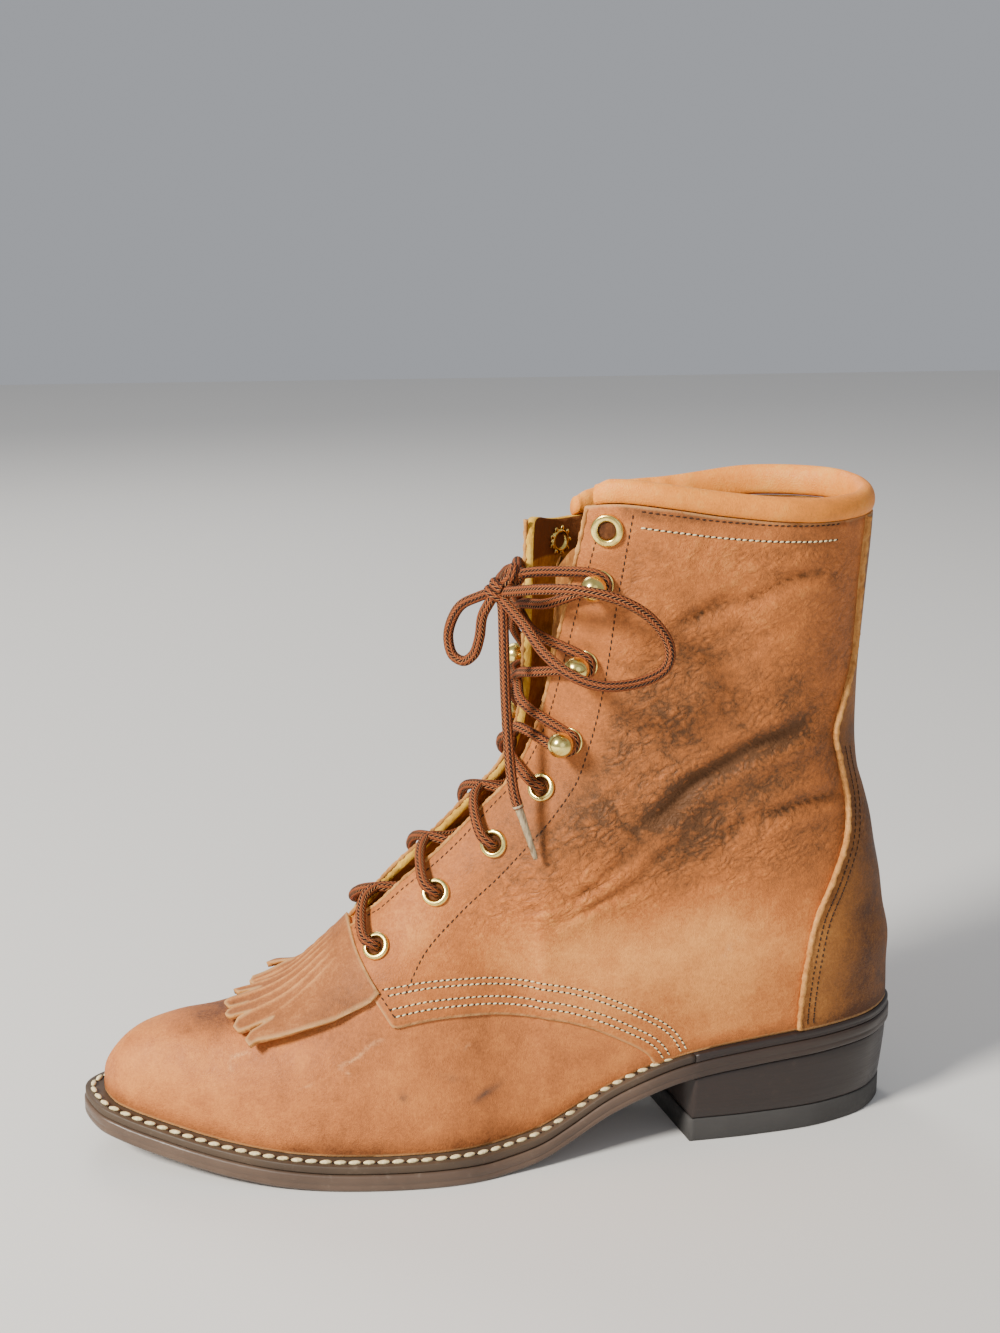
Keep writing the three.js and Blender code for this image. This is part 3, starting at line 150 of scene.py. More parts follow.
def hermite(xs, ys):
    """A table as a function, on the solids' own spline."""
    xs, ys = np.asarray(xs, float), np.asarray(ys, float)
    last = len(xs) - 1
    order = np.arange(last + 1)
    before, after = np.maximum(order - 1, 0), np.minimum(order + 1, last)
    slope = (ys[after] - ys[before]) / (xs[after] - xs[before])
    at = np.linspace(xs[0], xs[-1], 1200)
    i = np.clip(np.searchsorted(xs, at, side="right") - 1, 0, last - 1)
    span = xs[i + 1] - xs[i]
    t = (at - xs[i]) / span
    value = ys[i] * (1 + 2 * t) * (1 - t) ** 2 + ys[i + 1] * t * t * (3 - 2 * t)
    value += slope[i] * span * t * (1 - t) ** 2 - slope[i + 1] * span * t * t * (1 - t)
    return lambda q: np.interp(q, at, value)


def arc(points):
    steps = np.linalg.norm(np.diff(points, axis=0), axis=1)
    return np.concatenate([[0], np.cumsum(steps)])


def respaced(points, count):
    """The same polyline with points evenly along it."""
    points = np.asarray(points, float)
    length = arc(points)
    at = np.linspace(0, length[-1], count)
    return np.stack([np.interp(at, length, points[:, k]) for k in range(points.shape[1])], 1)


def spline(points, count, closed=False):
    """Centripetal curve through points, evenly spaced."""
    p = np.asarray(points, float)
    p = np.vstack([p[-1], p, p[0], p[1]]) if closed else np.vstack([2 * p[0] - p[1], p, 2 * p[-1] - p[-2]])
    runs = []
    for a, b, c, d in zip(p[:-3], p[1:-2], p[2:-1], p[3:]):
        steps = [max(float(np.linalg.norm(v - u)), 1e-9) ** 0.5 for u, v in ((a, b), (b, c), (c, d))]
        knots = np.cumsum([0] + steps)
        t = np.linspace(knots[1], knots[2], 24, endpoint=False)[:, None]

        def blend(u, v, low, high):
            return (high - t) / (high - low) * u + (t - low) / (high - low) * v

        ab, bc = blend(a, b, knots[0], knots[1]), blend(b, c, knots[1], knots[2])
        cd = blend(c, d, knots[2], knots[3])
        abc, bcd = blend(ab, bc, knots[0], knots[2]), blend(bc, cd, knots[1], knots[3])
        runs.append(blend(abc, bcd, knots[1], knots[2]))
    runs.append(p[-2][None])
    return respaced(np.vstack(runs), count)


def column(table, k):
    return [row[k] for row in table]


toe_share = hermite(column(UNDERSIDE, 0), column(UNDERSIDE, 1))
heel_share = hermite(column(UNDERSIDE, 0), column(UNDERSIDE, 2))


def underside(x):
    share = np.asarray(x) / SOLE_LENGTH
    return np.maximum(0, TOE_SPRING * toe_share(share) + HEEL_RISE * heel_share(share))


def seat(x):
    return underside(x) + SEAT_THICKNESS


OUTLINE_POINTS = spline([(x * SOLE_LENGTH, y * BALL_WIDTH) for x, y in OUTLINE], 1441, closed=True)[:-1]


def shelf(x):
    return mix(WELT_SHELF, HEEL_SHELF, smooth((x / SOLE_LENGTH + 0.02) / 0.2))


def sides_of(inset):
    """Lateral and medial halves of the outline moved inwards, each from the toe to the heel."""
    along = np.roll(OUTLINE_POINTS, -1, axis=0) - np.roll(OUTLINE_POINTS, 1, axis=0)
    along /= np.linalg.norm(along, axis=1)[:, None]
    distance = inset(OUTLINE_POINTS[:, 0]) if callable(inset) else inset
    loop = OUTLINE_POINTS + np.stack([-along[:, 1] * distance, along[:, 0] * distance], 1)
    loop = np.roll(loop, -int(np.argmin(loop[:, 0])), axis=0)
    heel = int(np.argmax(loop[:, 0]))
    lateral = loop[: heel + 1].copy()
    medial = np.vstack([loop[heel:], loop[:1]])[::-1].copy()
    for half in (lateral, medial):
        half[:, 0] = np.maximum.accumulate(half[:, 0])
    return lateral, medial


FEATHER_LATERAL, FEATHER_MEDIAL = sides_of(shelf)
FEATHER_TIP, FEATHER_HEEL = FEATHER_LATERAL[0, 0], FEATHER_LATERAL[-1, 0]


def feather(x):
    lateral = np.interp(x, FEATHER_LATERAL[:, 0], FEATHER_LATERAL[:, 1])
    medial = np.interp(x, FEATHER_MEDIAL[:, 0], FEATHER_MEDIAL[:, 1])
    return (medial - lateral) / 2, (medial + lateral) / 2


def spot(x, h):
    """A place of the side view from its shares."""
    x = mix(FEATHER_TIP, FEATHER_HEEL, (np.asarray(x, float) - FRONT[0][0]) / (BACK[0][0] - FRONT[0][0]))
    return np.stack([x, seat(x) + np.asarray(h, float) * UPPER_HEIGHT], -1)


def side_line(rows, count=700):
    return spline(spot(column(rows, 0), column(rows, 1)), count)


FRONT_LINE, BACK_LINE = side_line(FRONT, 1200), side_line(BACK, 1200)


def rising(line, key, value, at):
    return np.interp(at, np.maximum.accumulate(line[:, key]), line[:, value])


def front_x(z):
    return rising(FRONT_LINE, 1, 0, z)


def back_x(z):
    return rising(BACK_LINE, 1, 0, z)


def ridge_height(x):
    return rising(FRONT_LINE, 0, 1, x)


fullness = hermite(column(FULLNESS, 0), column(FULLNESS, 1))
shaft_half = hermite(column(SHAFT, 0), column(SHAFT, 1))
BLEND_LOW, BLEND_HIGH = spot(0.115, 0), spot(-0.033, 0.6)
SHAFT_ROUND = 0.62 * SHAFT_WIDTH
HEEL_MIDDLE = 0.2 * SOLE_LENGTH
BLEND = 0.085 * SOLE_LENGTH


def centre_y(x, z):
    return feather(x)[1] * (1 - smooth((z - seat(x)) / (0.3 * UPPER_HEIGHT)))


def round_end(e):
    return np.sqrt(np.maximum(0, 1 - (1 - np.clip(e, 0, 1)) ** 2))


def half_width(x, z):
    rise = z - seat(x)
    up = np.clip(rise / np.maximum(ridge_height(x) - seat(x), 0.01), 0, 1)
    foot = feather(x)[0] * np.sqrt(np.maximum(0, 1 - up ** fullness(x / SOLE_LENGTH)))
    back = back_x(z)
    beyond = (x - HEEL_MIDDLE) * (FEATHER_HEEL - HEEL_MIDDLE) / (back - HEEL_MIDDLE)
    on_seat = np.where(x < HEEL_MIDDLE, x, HEEL_MIDDLE + beyond)
    oval = shaft_half(rise / UPPER_HEIGHT) * SHAFT_WIDTH
    oval = oval * round_end((back - x) / SHAFT_ROUND) * round_end((x - front_x(z)) / SHAFT_ROUND)
    shaft = mix(feather(on_seat)[0], oval, smooth(rise / (0.2 * UPPER_HEIGHT)))
    across = (BLEND_HIGH - BLEND_LOW) / np.linalg.norm(BLEND_HIGH - BLEND_LOW)
    side = (x - BLEND_LOW[0]) * across[1] - (z - BLEND_LOW[1]) * across[0]
    return mix(foot, shaft, smooth(0.5 + side / (2 * BLEND)))


def cut_edge(x, y):
    lateral = hermite(column(RIM, 0), column(RIM, 1))(x / SOLE_LENGTH)
    medial = hermite(column(RIM, 0), column(RIM, 2))(x / SOLE_LENGTH)
    return seat(x) + UPPER_HEIGHT * mix(lateral, medial, 0.5 + y / SHAFT_WIDTH) - CUFF_HEIGHT


def skin_grid():
    """Points of the skin, a row for each section, from the lateral base over the front to the medial base."""
    base_x = np.linspace(FEATHER_TIP, FEATHER_HEEL, 500, endpoint=False)
    base = respaced(np.vstack([np.stack([base_x, seat(base_x) - 4], 1), BACK_LINE]), 3000)
    shares = []
    for k, (front, low, steps) in enumerate(STATIONS[:-1]):
        for i in range(steps):
            t = i / steps
            t = t**1.5 if k == 0 else t
            on_base = math.sin(math.pi * t / 2) if k == 2 else t
            shares.append((mix(front, STATIONS[k + 1][0], t), mix(low, STATIONS[k + 1][1], on_base)))
    shares.append((1, 1))
    rows = []
    for front, low in shares:
        start = [np.interp(front, np.linspace(0, 1, len(FRONT_LINE)), FRONT_LINE[:, k]) for k in (0, 1)]
        end = [np.interp(low, np.linspace(0, 1, len(base)), base[:, k]) for k in (0, 1)]
        s = (1 - np.cos(np.linspace(0, math.pi, 120))) / 2
        x, z = mix(start[0], end[0], s), mix(start[1], end[1], s)
        middle, half = centre_y(x, z), half_width(x, z)
        lateral = respaced(np.stack([x, middle - half, z], 1), SIDE + 1)
        medial = respaced(np.stack([x, middle + half, z], 1), SIDE + 1)
        rows.append(np.vstack([lateral[::-1], medial[1:]]))
    return np.array(rows), np.array(column(shares, 0))


SKIN, FRONT_SHARE = skin_grid()
ROW_HEIGHT = (SKIN[:, SIDE, 2] - seat(SKIN[:, SIDE, 0])) / UPPER_HEIGHT


def grid_normals(grid):
    """Outward normals of the skin grid, joined where its two edges meet at the back."""
    along, across = np.gradient(grid, axis=0), np.gradient(grid, axis=1)
    joined = np.linalg.norm(grid[:, 0] - grid[:, -1], axis=1) < 0.05
    across[joined, 0] = grid[joined, 1] - grid[joined, -2]
    across[joined, -1] = grid[joined, 1] - grid[joined, -2]
    normal = np.cross(along, across)
    length = np.linalg.norm(normal, axis=2)[..., None]
    normal = np.where(length > 1e-9, normal / np.maximum(length, 1e-9), [-1.0, 0, 0])
    outward = normal[len(grid) // 2, SIDE // 2, 1]
    return normal if outward < 0 else -normal


NORMALS = grid_normals(SKIN)
X, Y, Z = SKIN[..., 0], SKIN[..., 1], SKIN[..., 2]
COLUMNS = np.broadcast_to(np.arange(2 * SIDE + 1), X.shape)
LATERAL = COLUMNS < SIDE


def side_distance(line, x, z):
    """Signed distance from a line of the side view: positive on its right-hand side."""
    start, end = line[:-1], line[1:]
    along = end - start
    normal = np.stack([along[:, 1], -along[:, 0]], 1) / np.linalg.norm(along, axis=1)[:, None]
    corner = np.vstack([normal[:1], normal[:-1] + normal[1:], normal[-1:]])
    p = np.stack([np.ravel(x), np.ravel(z)], 1)
    best = np.full(len(p), 1e9)
    sign = np.ones(len(p))
    for k in range(len(start)):
        away = p - start[k]
        t = np.clip(away @ along[k] / (along[k] @ along[k]), 0, 1)
        gap = away - t[:, None] * along[k]
        distance = np.hypot(gap[:, 0], gap[:, 1])
        nearer = distance < best
        at_end = np.where((t <= 0)[:, None], corner[k], corner[k + 1])
        facing = np.where(((t > 0) & (t < 1))[:, None], normal[k], at_end)
        best = np.where(nearer, distance, best)
        sign = np.where(nearer, np.where((gap * facing).sum(1) >= 0, 1, -1), sign)
    return (best * sign).reshape(np.shape(x))


LOWER_LINE = side_line(QUARTER_LOWER, 60)
EDGE_LINE = np.vstack([LOWER_LINE[:-1], side_line(QUARTER_FRONT, 40)])
COUNTER_LINE = side_line(COUNTER_EDGE, 80)
to_quarter = side_distance(EDGE_LINE, X, Z)
to_counter = side_distance(COUNTER_LINE, X, Z)
throat_lateral = hermite(column(THROAT, 0), column(THROAT, 1))
throat_medial = hermite(column(THROAT, 0), column(THROAT, 2))
GAP_SHARE = np.where(LATERAL, throat_lateral(ROW_HEIGHT)[:, None], throat_medial(ROW_HEIGHT)[:, None])
HALF_GAP = GAP_SHARE * SHAFT_WIDTH
NEAR_FRONT = np.abs(COLUMNS - SIDE) < 0.62 * SIDE
to_throat = np.where(NEAR_FRONT, np.abs(Y) - HALF_GAP, 60.0)
to_collar = cut_edge(X, Y) - Z
to_seat = Z - seat(X) - 0.15

# Folds of the shaft and ankle, as lines of the side view: width, depth, and the points of the line.
FOLDS = (
    (2.6, 1.15, (
        (53, 195), (60, 198), (67, 201), (75, 204), (82, 205), (86, 207), (93, 210), (99, 212), (111, 213),
    )),
    (2.0, 0.6, ((64, 204), (71, 206), (78, 210), (84, 212), (95, 215))),
    (1.7, 0.5, ((64, 184), (75, 185), (83, 187), (89, 190))),
    (2.0, 0.55, ((83, 191), (91, 194), (100, 196))),
    (3.6, 1.7, (
        (110, 160), (103, 157), (95, 154), (86, 152), (79, 148), (71, 144), (66, 141), (59, 135), (54, 129),
        (42, 123),
    )),
    (2.0, 0.75, ((116, 154), (103, 153), (91, 149), (82, 146), (73, 142))),
    (2.6, 1.15, ((123, 129), (110, 129), (102, 128), (92, 126), (83, 123), (77, 119), (74, 116))),
    (1.8, 0.55, ((100, 127), (92, 123), (86, 118), (82, 114))),
    (2.0, 0.6, ((17, 97), (28, 102), (38, 109), (45, 116), (52, 121), (63, 126))),
    (1.8, 0.55, ((12, 87), (24, 93), (35, 99), (46, 104), (53, 112), (63, 119))),
    (1.8, 0.45, ((31, 96), (46, 101), (60, 109), (67, 114))),
    (2.0, 0.6, ((38, 118), (45, 122), (54, 126), (63, 133))),
    (1.4, 0.4, ((38, 186), (44, 188), (49, 192))),
    (1.4, 0.4, ((36, 183), (44, 182), (50, 187))),
    (1.6, 0.5, ((33, 136), (37, 129), (45, 120), (51, 115))),
    (1.4, 0.4, ((65, 170), (69, 173), (73, 168), (76, 162))),
    (1.4, 0.4, ((61, 174), (72, 175), (81, 171), (90, 169))),
    (1.4, 0.35, ((44, 171), (54, 169), (65, 166), (76, 169))),
    (1.6, 0.35, ((70, 222), (84, 221), (100, 219))),
    (2.2, 0.3, ((60, 216), (66, 224), (69, 230))),
)
rng = np.random.default_rng(7)


def distance_to(line, x, z):
    """Distance from a line of the side view and the share of the way along it."""
    line = respaced(line, 14)
    best = np.full(np.shape(x), 1e9)
    share = np.zeros(np.shape(x))
    for k in range(len(line) - 1):
        ax, az = line[k + 1] - line[k]
        t = np.clip(((x - line[k, 0]) * ax + (z - line[k, 1]) * az) / (ax * ax + az * az), 0, 1)
        distance = np.hypot(x - line[k, 0] - t * ax, z - line[k, 1] - t * az)
        nearer = distance < best
        best = np.where(nearer, distance, best)
        share = np.where(nearer, (k + t) / (len(line) - 1), share)
    return best, share


def wrinkles():
    """Short slanting folds scattered over the ankle, of their own lengths and depths."""
    found = []
    for _ in range(64):
        x, z = rng.uniform(8, 100), rng.uniform(84, 176)
        if z < 78 + 0.35 * x or z > 150 + 0.25 * x:
            continue
        turn = math.radians(rng.normal(32 if z < 140 else 12, 10))
        long = rng.uniform(7, 17)
        bend = rng.uniform(-2, 2)
        line = [
            (x + s * long * math.cos(turn), z + s * long * math.sin(turn) + bend * (1 - 4 * s * s))
            for s in (-0.5, -0.2, 0.2, 0.5)
        ]
        found.append((rng.uniform(1.3, 2.0), rng.uniform(0.18, 0.42), line))
    return found


def relief(x, z, lateral):
    """Height of the folds over the smooth skin, and how deep in a fold each place lies."""
    height = np.zeros(np.shape(x))
    for moved, mask in ((0, lateral), (1, ~lateral)):
        mx, mz = x - 5 * moved, z + 3 * moved
        for width, depth, line in ALL_FOLDS:
            near, share = distance_to(line, mx, mz)
            ends = np.clip(np.minimum(share, 1 - share) * 6, 0, 1) ** 0.7
            trough = -0.75 * np.exp(-((near / width) ** 2)) - 0.65 * np.exp(-((near / (0.4 * width)) ** 2))
            lip = 0.7 * np.exp(-(((near - 1.9 * width) / (1.0 * width)) ** 2))
            height = height + np.where(mask, depth * ends * (trough + lip) * (1 - 0.3 * moved), 0)
    swell = 0.5 * np.sin(x / 17 + 0.8) * np.sin(z / 13) + 0.35 * np.sin(x / 9 - z / 11 + 2)
    height = height + swell * smooth((z - 60) / 40) * smooth((236 - z) / 20)
    dimple = np.exp(-(((x + 62) / 20) ** 2 + ((z - 55) / 9) ** 2))
    return height - 0.8 * dimple


ALL_FOLDS = FOLDS + tuple(wrinkles())
RELIEF = relief(X, Z, LATERAL)
BEHIND_FRONT = X - front_x(Z)
STIFF = smooth((BEHIND_FRONT - 19) / 9) * smooth((to_collar - 2) / 8) * smooth((to_seat - 2) / 8)
FROM_SEAM = np.minimum(COLUMNS, 2 * SIDE - COLUMNS)
RELIEF = RELIEF * smooth(FROM_SEAM / 14) * np.where(to_quarter < -4, 1, STIFF)


def painted_light_and_tone_of(x, z, lateral):
    """Paler and darker patches of the leather: painted highlights on the toe and the lower quarter, a painted
    shadow of the kiltie's tips on the toe, painted shade over the ankle, the back of the shaft and the back
    of the heel, a darker strip along the lateral top and darker along the bottom.
    """
    # Painted highlights on the toe.
    tone = 0.2 * np.exp(-(((x + 128) / 16) ** 2 + ((z - 34) / 10) ** 2))
    tone += 0.15 * np.exp(-(((x + 103) / 9) ** 2 + ((z - 30) / 9) ** 2))
    # Painted shadow of the kiltie's tips across the top of the toe.
    tone -= 0.5 * np.exp(-(((x + 104) / 16) ** 2 + ((z - 51) / 4) ** 2))
    # Painted shade over the ankle and the back of the shaft, half as strong on the medial side.
    shade = 0.25 * np.exp(-(((x - 104) / 24) ** 2 + ((z - 175) / 44) ** 2))
    shade += 0.22 * np.exp(-(((x - 52) / 30) ** 2 + ((z - 160) / 24) ** 2))
    shade += 0.46 * np.exp(-(((x - 46 - 0.8 * (z - 125)) / 46) ** 2 + ((z - 129) / 26) ** 2))
    tone -= shade * np.where(lateral, 1, 0.5)
    # Painted highlight on the lower quarter.
    tone += 0.45 * np.exp(-(((x - 60) / 50) ** 2 + ((z - 72) / 24) ** 2))
    tone -= 0.35 * smooth((z - 232 + 0.06 * (x - 43)) / 2) * smooth((x - 36) / 3) * lateral
    # Another painted highlight on the lower quarter.
    tone += 0.2 * np.exp(-(((x - 20) / 30) ** 2 + ((z - 75) / 16) ** 2))
    tone -= 0.3 * smooth((8 - (z - seat(x))) / 8)
    # Painted shade on the back of the heel.
    return tone - 0.5 * smooth((x - 112) / 26) * smooth((170 - z) / 20)


PAINTED_LIGHT_AND_TONE = painted_light_and_tone_of(X, Z, LATERAL)
MARKS = (
    (1.3, 1.0, ((-14, 27), (-10, 29), (-5, 31))), (1.3, 0.8, ((-40, 32), (-39.5, 30))),
    (0.9, 0.35, ((-27, 38), (-22, 36), (-18, 35))),
)
SCRATCHES = (
    (0.5, 0.8, ((-62, 42), (-57, 44), (-54, 46), (-51, 49), (-46, 51))), (0.4, 0.6, ((-62, 42), (-58, 39))),
    (0.5, 0.7, ((-99, 38), (-99, 42), (-92, 44))), (0.6, 0.45, ((77, 72), (78, 75), (81, 79), (83, 80))),
    (0.35, 0.4, ((-75, 34), (-71, 36))), (0.35, 0.4, ((-20, 47), (-14, 46))),
    (0.3, 0.5, ((-84, 58), (-80, 63))),
)


def strokes(lines, x, z, lateral):
    drawn = np.zeros(np.shape(x))
    for width, strength, line in lines:
        near, share = distance_to(line, x, z)
        taper = 0.4 + 0.6 * np.sin(math.pi * np.clip(share, 0.02, 0.98))
        drawn = np.maximum(drawn, strength * np.exp(-((near / width) ** 2)) * taper)
    return np.where(lateral, drawn, 0)


# Mesh building.
def linked(name, mesh, material, replaces=()):
    """A mesh as a piece of the boot, on its one body, with its materials."""
    made = bpy.data.objects.new(name, mesh)
    bpy.context.scene.collection.objects.link(made)
    for one in material if isinstance(material, (list, tuple)) else [material]:
        mesh.materials.append(one)
    for face in mesh.polygons:
        face.use_smooth = True
    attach(made, "root")
    if replaces:
        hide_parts(*replaces)
    return made


def mesh_of(bm, name):
    mesh = bpy.data.meshes.new(name)
    bm.to_mesh(mesh)
    bm.free()
    return mesh


def laid_grid(points):
    """A bmesh grid laid on rows of points, with a UV map of millimetres along each way."""
    rows, cols = points.shape[:2]
    bm = bmesh.new()
    bmesh.ops.create_grid(bm, x_segments=cols - 1, y_segments=rows - 1, size=1)
    bm.verts.ensure_lookup_table()

    def grid_place(k):
        return round(bm.verts[k].co.y, 5), round(bm.verts[k].co.x, 5)

    order = sorted(range(len(bm.verts)), key=grid_place)
    place = {bm.verts[k].index: divmod(n, cols) for n, k in enumerate(order)}
    across = arc(points[rows // 2])
    along = arc(points[:, cols // 3])
    uv = bm.loops.layers.uv.new("UVMap")
    for face in bm.faces:
        for loop in face.loops:
            i, j = place[loop.vert.index]
            loop[uv].uv = (across[j], along[i])
    for vert in bm.verts:
        i, j = place[vert.index]
        vert.co = Vector(points[i, j]) * MM
    return bm, place


def tidied(bm, distance=1e-6):
    """Doubles merged, holes closed and normals out."""
    bmesh.ops.remove_doubles(bm, verts=bm.verts, dist=distance)
    open_edges = [edge for edge in bm.edges if edge.is_boundary]
    if open_edges:
        bmesh.ops.holes_fill(bm, edges=open_edges, sides=0)
    bmesh.ops.recalc_face_normals(bm, faces=bm.faces)
    return bm


SURFACES = {}


def panel(name, offset, fields, thickness, materials, replaces=(), tone=None):
    """A cut of leather laid on the skin: inside every field, raised by the offset, with raw edges."""
    inside = np.ones(X.shape, bool)
    for field in fields:
        inside &= field > 0
    grown = inside.copy()
    grown[1:] |= inside[:-1]
    grown[:-1] |= inside[1:]
    wide = grown.copy()
    wide[:, 1:] |= grown[:, :-1]
    wide[:, :-1] |= grown[:, 1:]
    points = SKIN + NORMALS * (offset + RELIEF)[..., None]
    bm, place = laid_grid(points)
    keep = {}
    names = ["field%d" % k for k in range(len(fields))]
    names += ["tone", "fold", "mark", "scratch", "wrinkle", "edge"]
    edge = np.minimum.reduce([np.asarray(field, float) for field in fields])
    values = list(fields) + [PAINTED_LIGHT_AND_TONE if tone is None else tone, -RELIEF]
    values += [MARK_MAP, SCRATCH_MAP, WRINKLE_MAP, edge]
    layers = [bm.verts.layers.float.new(one) for one in names]
    outside = []
    for vert in bm.verts:
        i, j = place[vert.index]
        if not wide[i, j]:
            outside.append(vert)
            continue
        for layer, value in zip(layers, values):
            vert[layer] = float(value[i, j])
    bmesh.ops.delete(bm, geom=outside, context="VERTS")
    for layer in layers[: len(fields)]:
        cut_along(bm, layer)
    bmesh.ops.remove_doubles(bm, verts=bm.verts, dist=2e-6)
    bmesh.ops.dissolve_degenerate(bm, edges=bm.edges, dist=5e-6)
    outer_face = max(bm.faces, key=lambda face: abs(face.calc_center_median().y))
    if outer_face.normal.y * outer_face.calc_center_median().y < 0:
        bmesh.ops.reverse_faces(bm, faces=bm.faces)
    SURFACES[name] = BVHTree.FromBMesh(bm)
    made = linked(name, mesh_of(bm, name), materials, replaces)
    wall = made.modifiers.new("wall", "SOLIDIFY")
    wall.thickness = thickness * MM
    wall.offset = -1
    wall.use_rim = True
    wall.material_offset = 1
    wall.material_offset_rim = 2


def cut_along(bm, layer):
    """Cuts the faces where a field passes zero and drops what lies outside."""
    for edge in bm.edges:
        a, b = edge.verts
        if a[layer] * b[layer] < 0:
            share = a[layer] / (a[layer] - b[layer])
            near = a if share < 0.16 else b if share > 0.84 else None
            if near is not None:
                near.co = a.co.lerp(b.co, share)
                near[layer] = 0
    for edge in [e for e in bm.edges if e.verts[0][layer] * e.verts[1][layer] < 0]:
        a, b = edge.verts
        share = a[layer] / (a[layer] - b[layer])
        made = bmesh.utils.edge_split(edge, a, share)[1]
        made[layer] = 0
    zero = [vert for vert in bm.verts if vert[layer] == 0]
    bmesh.ops.connect_verts(bm, verts=zero, check_degenerate=False)
    bmesh.ops.delete(bm, geom=[vert for vert in bm.verts if vert[layer] < 0], context="VERTS")


def tube(points, radius, around=14, squash=None):
    """A round tube along points, with U once round it and V in millimetres along it."""
    points = np.asarray(points, float)
    along = np.gradient(points, axis=0)
    along /= np.linalg.norm(along, axis=1)[:, None]
    side = np.cross(along[0], [0, 0, 1.0])
    if np.linalg.norm(side) < 0.1:
        side = np.cross(along[0], [0, 1.0, 0])
    rings = []
    for k, (p, t) in enumerate(zip(points, along)):
        side = side - t * (side @ t)
        side /= np.linalg.norm(side)
        up = np.cross(t, side)
        r = radius[k] if np.ndim(radius) else radius
        turn = np.linspace(0, 2 * math.pi, around + 1)[:, None]
        rings.append(p + r * (np.cos(turn) * side + np.sin(turn) * up))
    bm, place = laid_grid(np.array(rings))
    length = arc(points)
    uv = bm.loops.layers.uv.active
    for face in bm.faces:
        for loop in face.loops:
            i, j = place[loop.vert.index]
            loop[uv].uv = (j / around, length[i])
    return tidied(bm, 1e-7)


def turned(profile, steps=40):
    """A profile of radius and height spun round Z, closed and facing out."""
    bm = bmesh.new()
    verts = [bm.verts.new((r * MM, 0, h * MM)) for r, h in profile]
    edges = [bm.edges.new(pair) for pair in zip(verts, verts[1:])]
    bmesh.ops.spin(
        bm, geom=verts + edges, cent=(0, 0, 0), axis=(0, 0, 1), angle=2 * math.pi, steps=steps, use_merge=True
    )
    bmesh.ops.remove_doubles(bm, verts=bm.verts, dist=1e-7)
    bmesh.ops.recalc_face_normals(bm, faces=bm.faces)
    return mesh_of(bm, "turned")


def placed_matrix(point, normal, along=None):
    """Matrix that puts +Z on the normal, and +X as near as can be to a direction."""
    z = Vector(normal).normalized()
    x = Vector(along) if along is not None else z.orthogonal()
    x = (x - z * x.dot(z)).normalized()
    turn = Matrix((x, z.cross(x), z)).transposed().to_4x4()
    return Matrix.Translation(Vector(point) * MM) @ turn


def repeated(template, matrices):
    """Copies of one small mesh, each by its matrix, in one bmesh."""
    bm = bmesh.new()
    for matrix in matrices:
        copy = template.copy()
        copy.transform(matrix)
        bm.from_mesh(copy)
        bpy.data.meshes.remove(copy)
    return bm


def skin_at(x, z, sign, offset=0.0):
    """Point of the skin on one side at a place of the side view, with its normal."""
    step = 0.5

    def y(dx, dz):
        return float(centre_y(x + dx, z + dz) + sign * half_width(x + dx, z + dz))

    slope_x = (y(step, 0) - y(-step, 0)) / (2 * step)
    slope_z = (y(0, step) - y(0, -step)) / (2 * step)
    normal = np.array([-sign * slope_x, sign, -sign * slope_z])
    normal /= np.linalg.norm(normal)
    return np.array([float(x), y(0, 0), float(z)]) + normal * offset, normal


FIELD_JUMP = 5
GRID_JUMP = 6


def contour(field, value, columns, offset):
    """Points and normals on the skin where a field has a value: one for each row that crosses it."""
    found = []
    lifted = SKIN + NORMALS * (offset + RELIEF)[..., None]
    for i in range(len(SKIN)):
        v = field[i, columns] - value
        hit = np.nonzero((v[:-1] * v[1:] < 0) & (np.abs(np.diff(v)) < FIELD_JUMP))[0]
        if len(hit) == 0:
            continue
        k = int(hit[0])
        t = v[k] / (v[k] - v[k + 1])
        a, b = (i, columns[k]), (i, columns[k + 1])
        if np.linalg.norm(lifted[a] - lifted[b]) <= GRID_JUMP:
            found.append(np.concatenate([mix(lifted[a], lifted[b], t), mix(NORMALS[a], NORMALS[b], t)]))
    return np.array(found)


def even(path, pitch):
    """Places along a path of points and normals, a pitch apart, with their directions."""
    length = arc(path[:, :3])
    at = np.arange(pitch / 2, length[-1], pitch)
    pick = np.stack([np.interp(at, length, path[:, k]) for k in range(6)], 1)
    ends = [np.stack([np.interp(at + d, length, path[:, k]) for k in range(3)], 1) for d in (-0.4, 0.4)]
    normals = pick[:, 3:] / np.linalg.norm(pick[:, 3:], axis=1)[:, None]
    return pick[:, :3], normals, ends[1] - ends[0]


def smoothed(path, times=2):
    path = path.copy()
    for _ in range(times):
        path[1:-1] = (path[:-2] + 2 * path[1:-1] + path[2:]) / 4
    return path


MARK_MAP = strokes(MARKS, X, Z, LATERAL)
SCRATCH_MAP = strokes(SCRATCHES, X, Z, LATERAL)
WRINKLE_MAP = smooth((Z - 74 - 0.2 * X) / 20) * smooth((Z - 60) / 20) * smooth((232 - Z) / 14)
AT_ANKLE = np.exp(-(((X - 50) / 46) ** 2 + ((Z - 135) / 44) ** 2))
WRINKLE_MAP = WRINKLE_MAP * smooth((BEHIND_FRONT - 21) / 10) * (0.6 + 0.4 * AT_ANKLE)


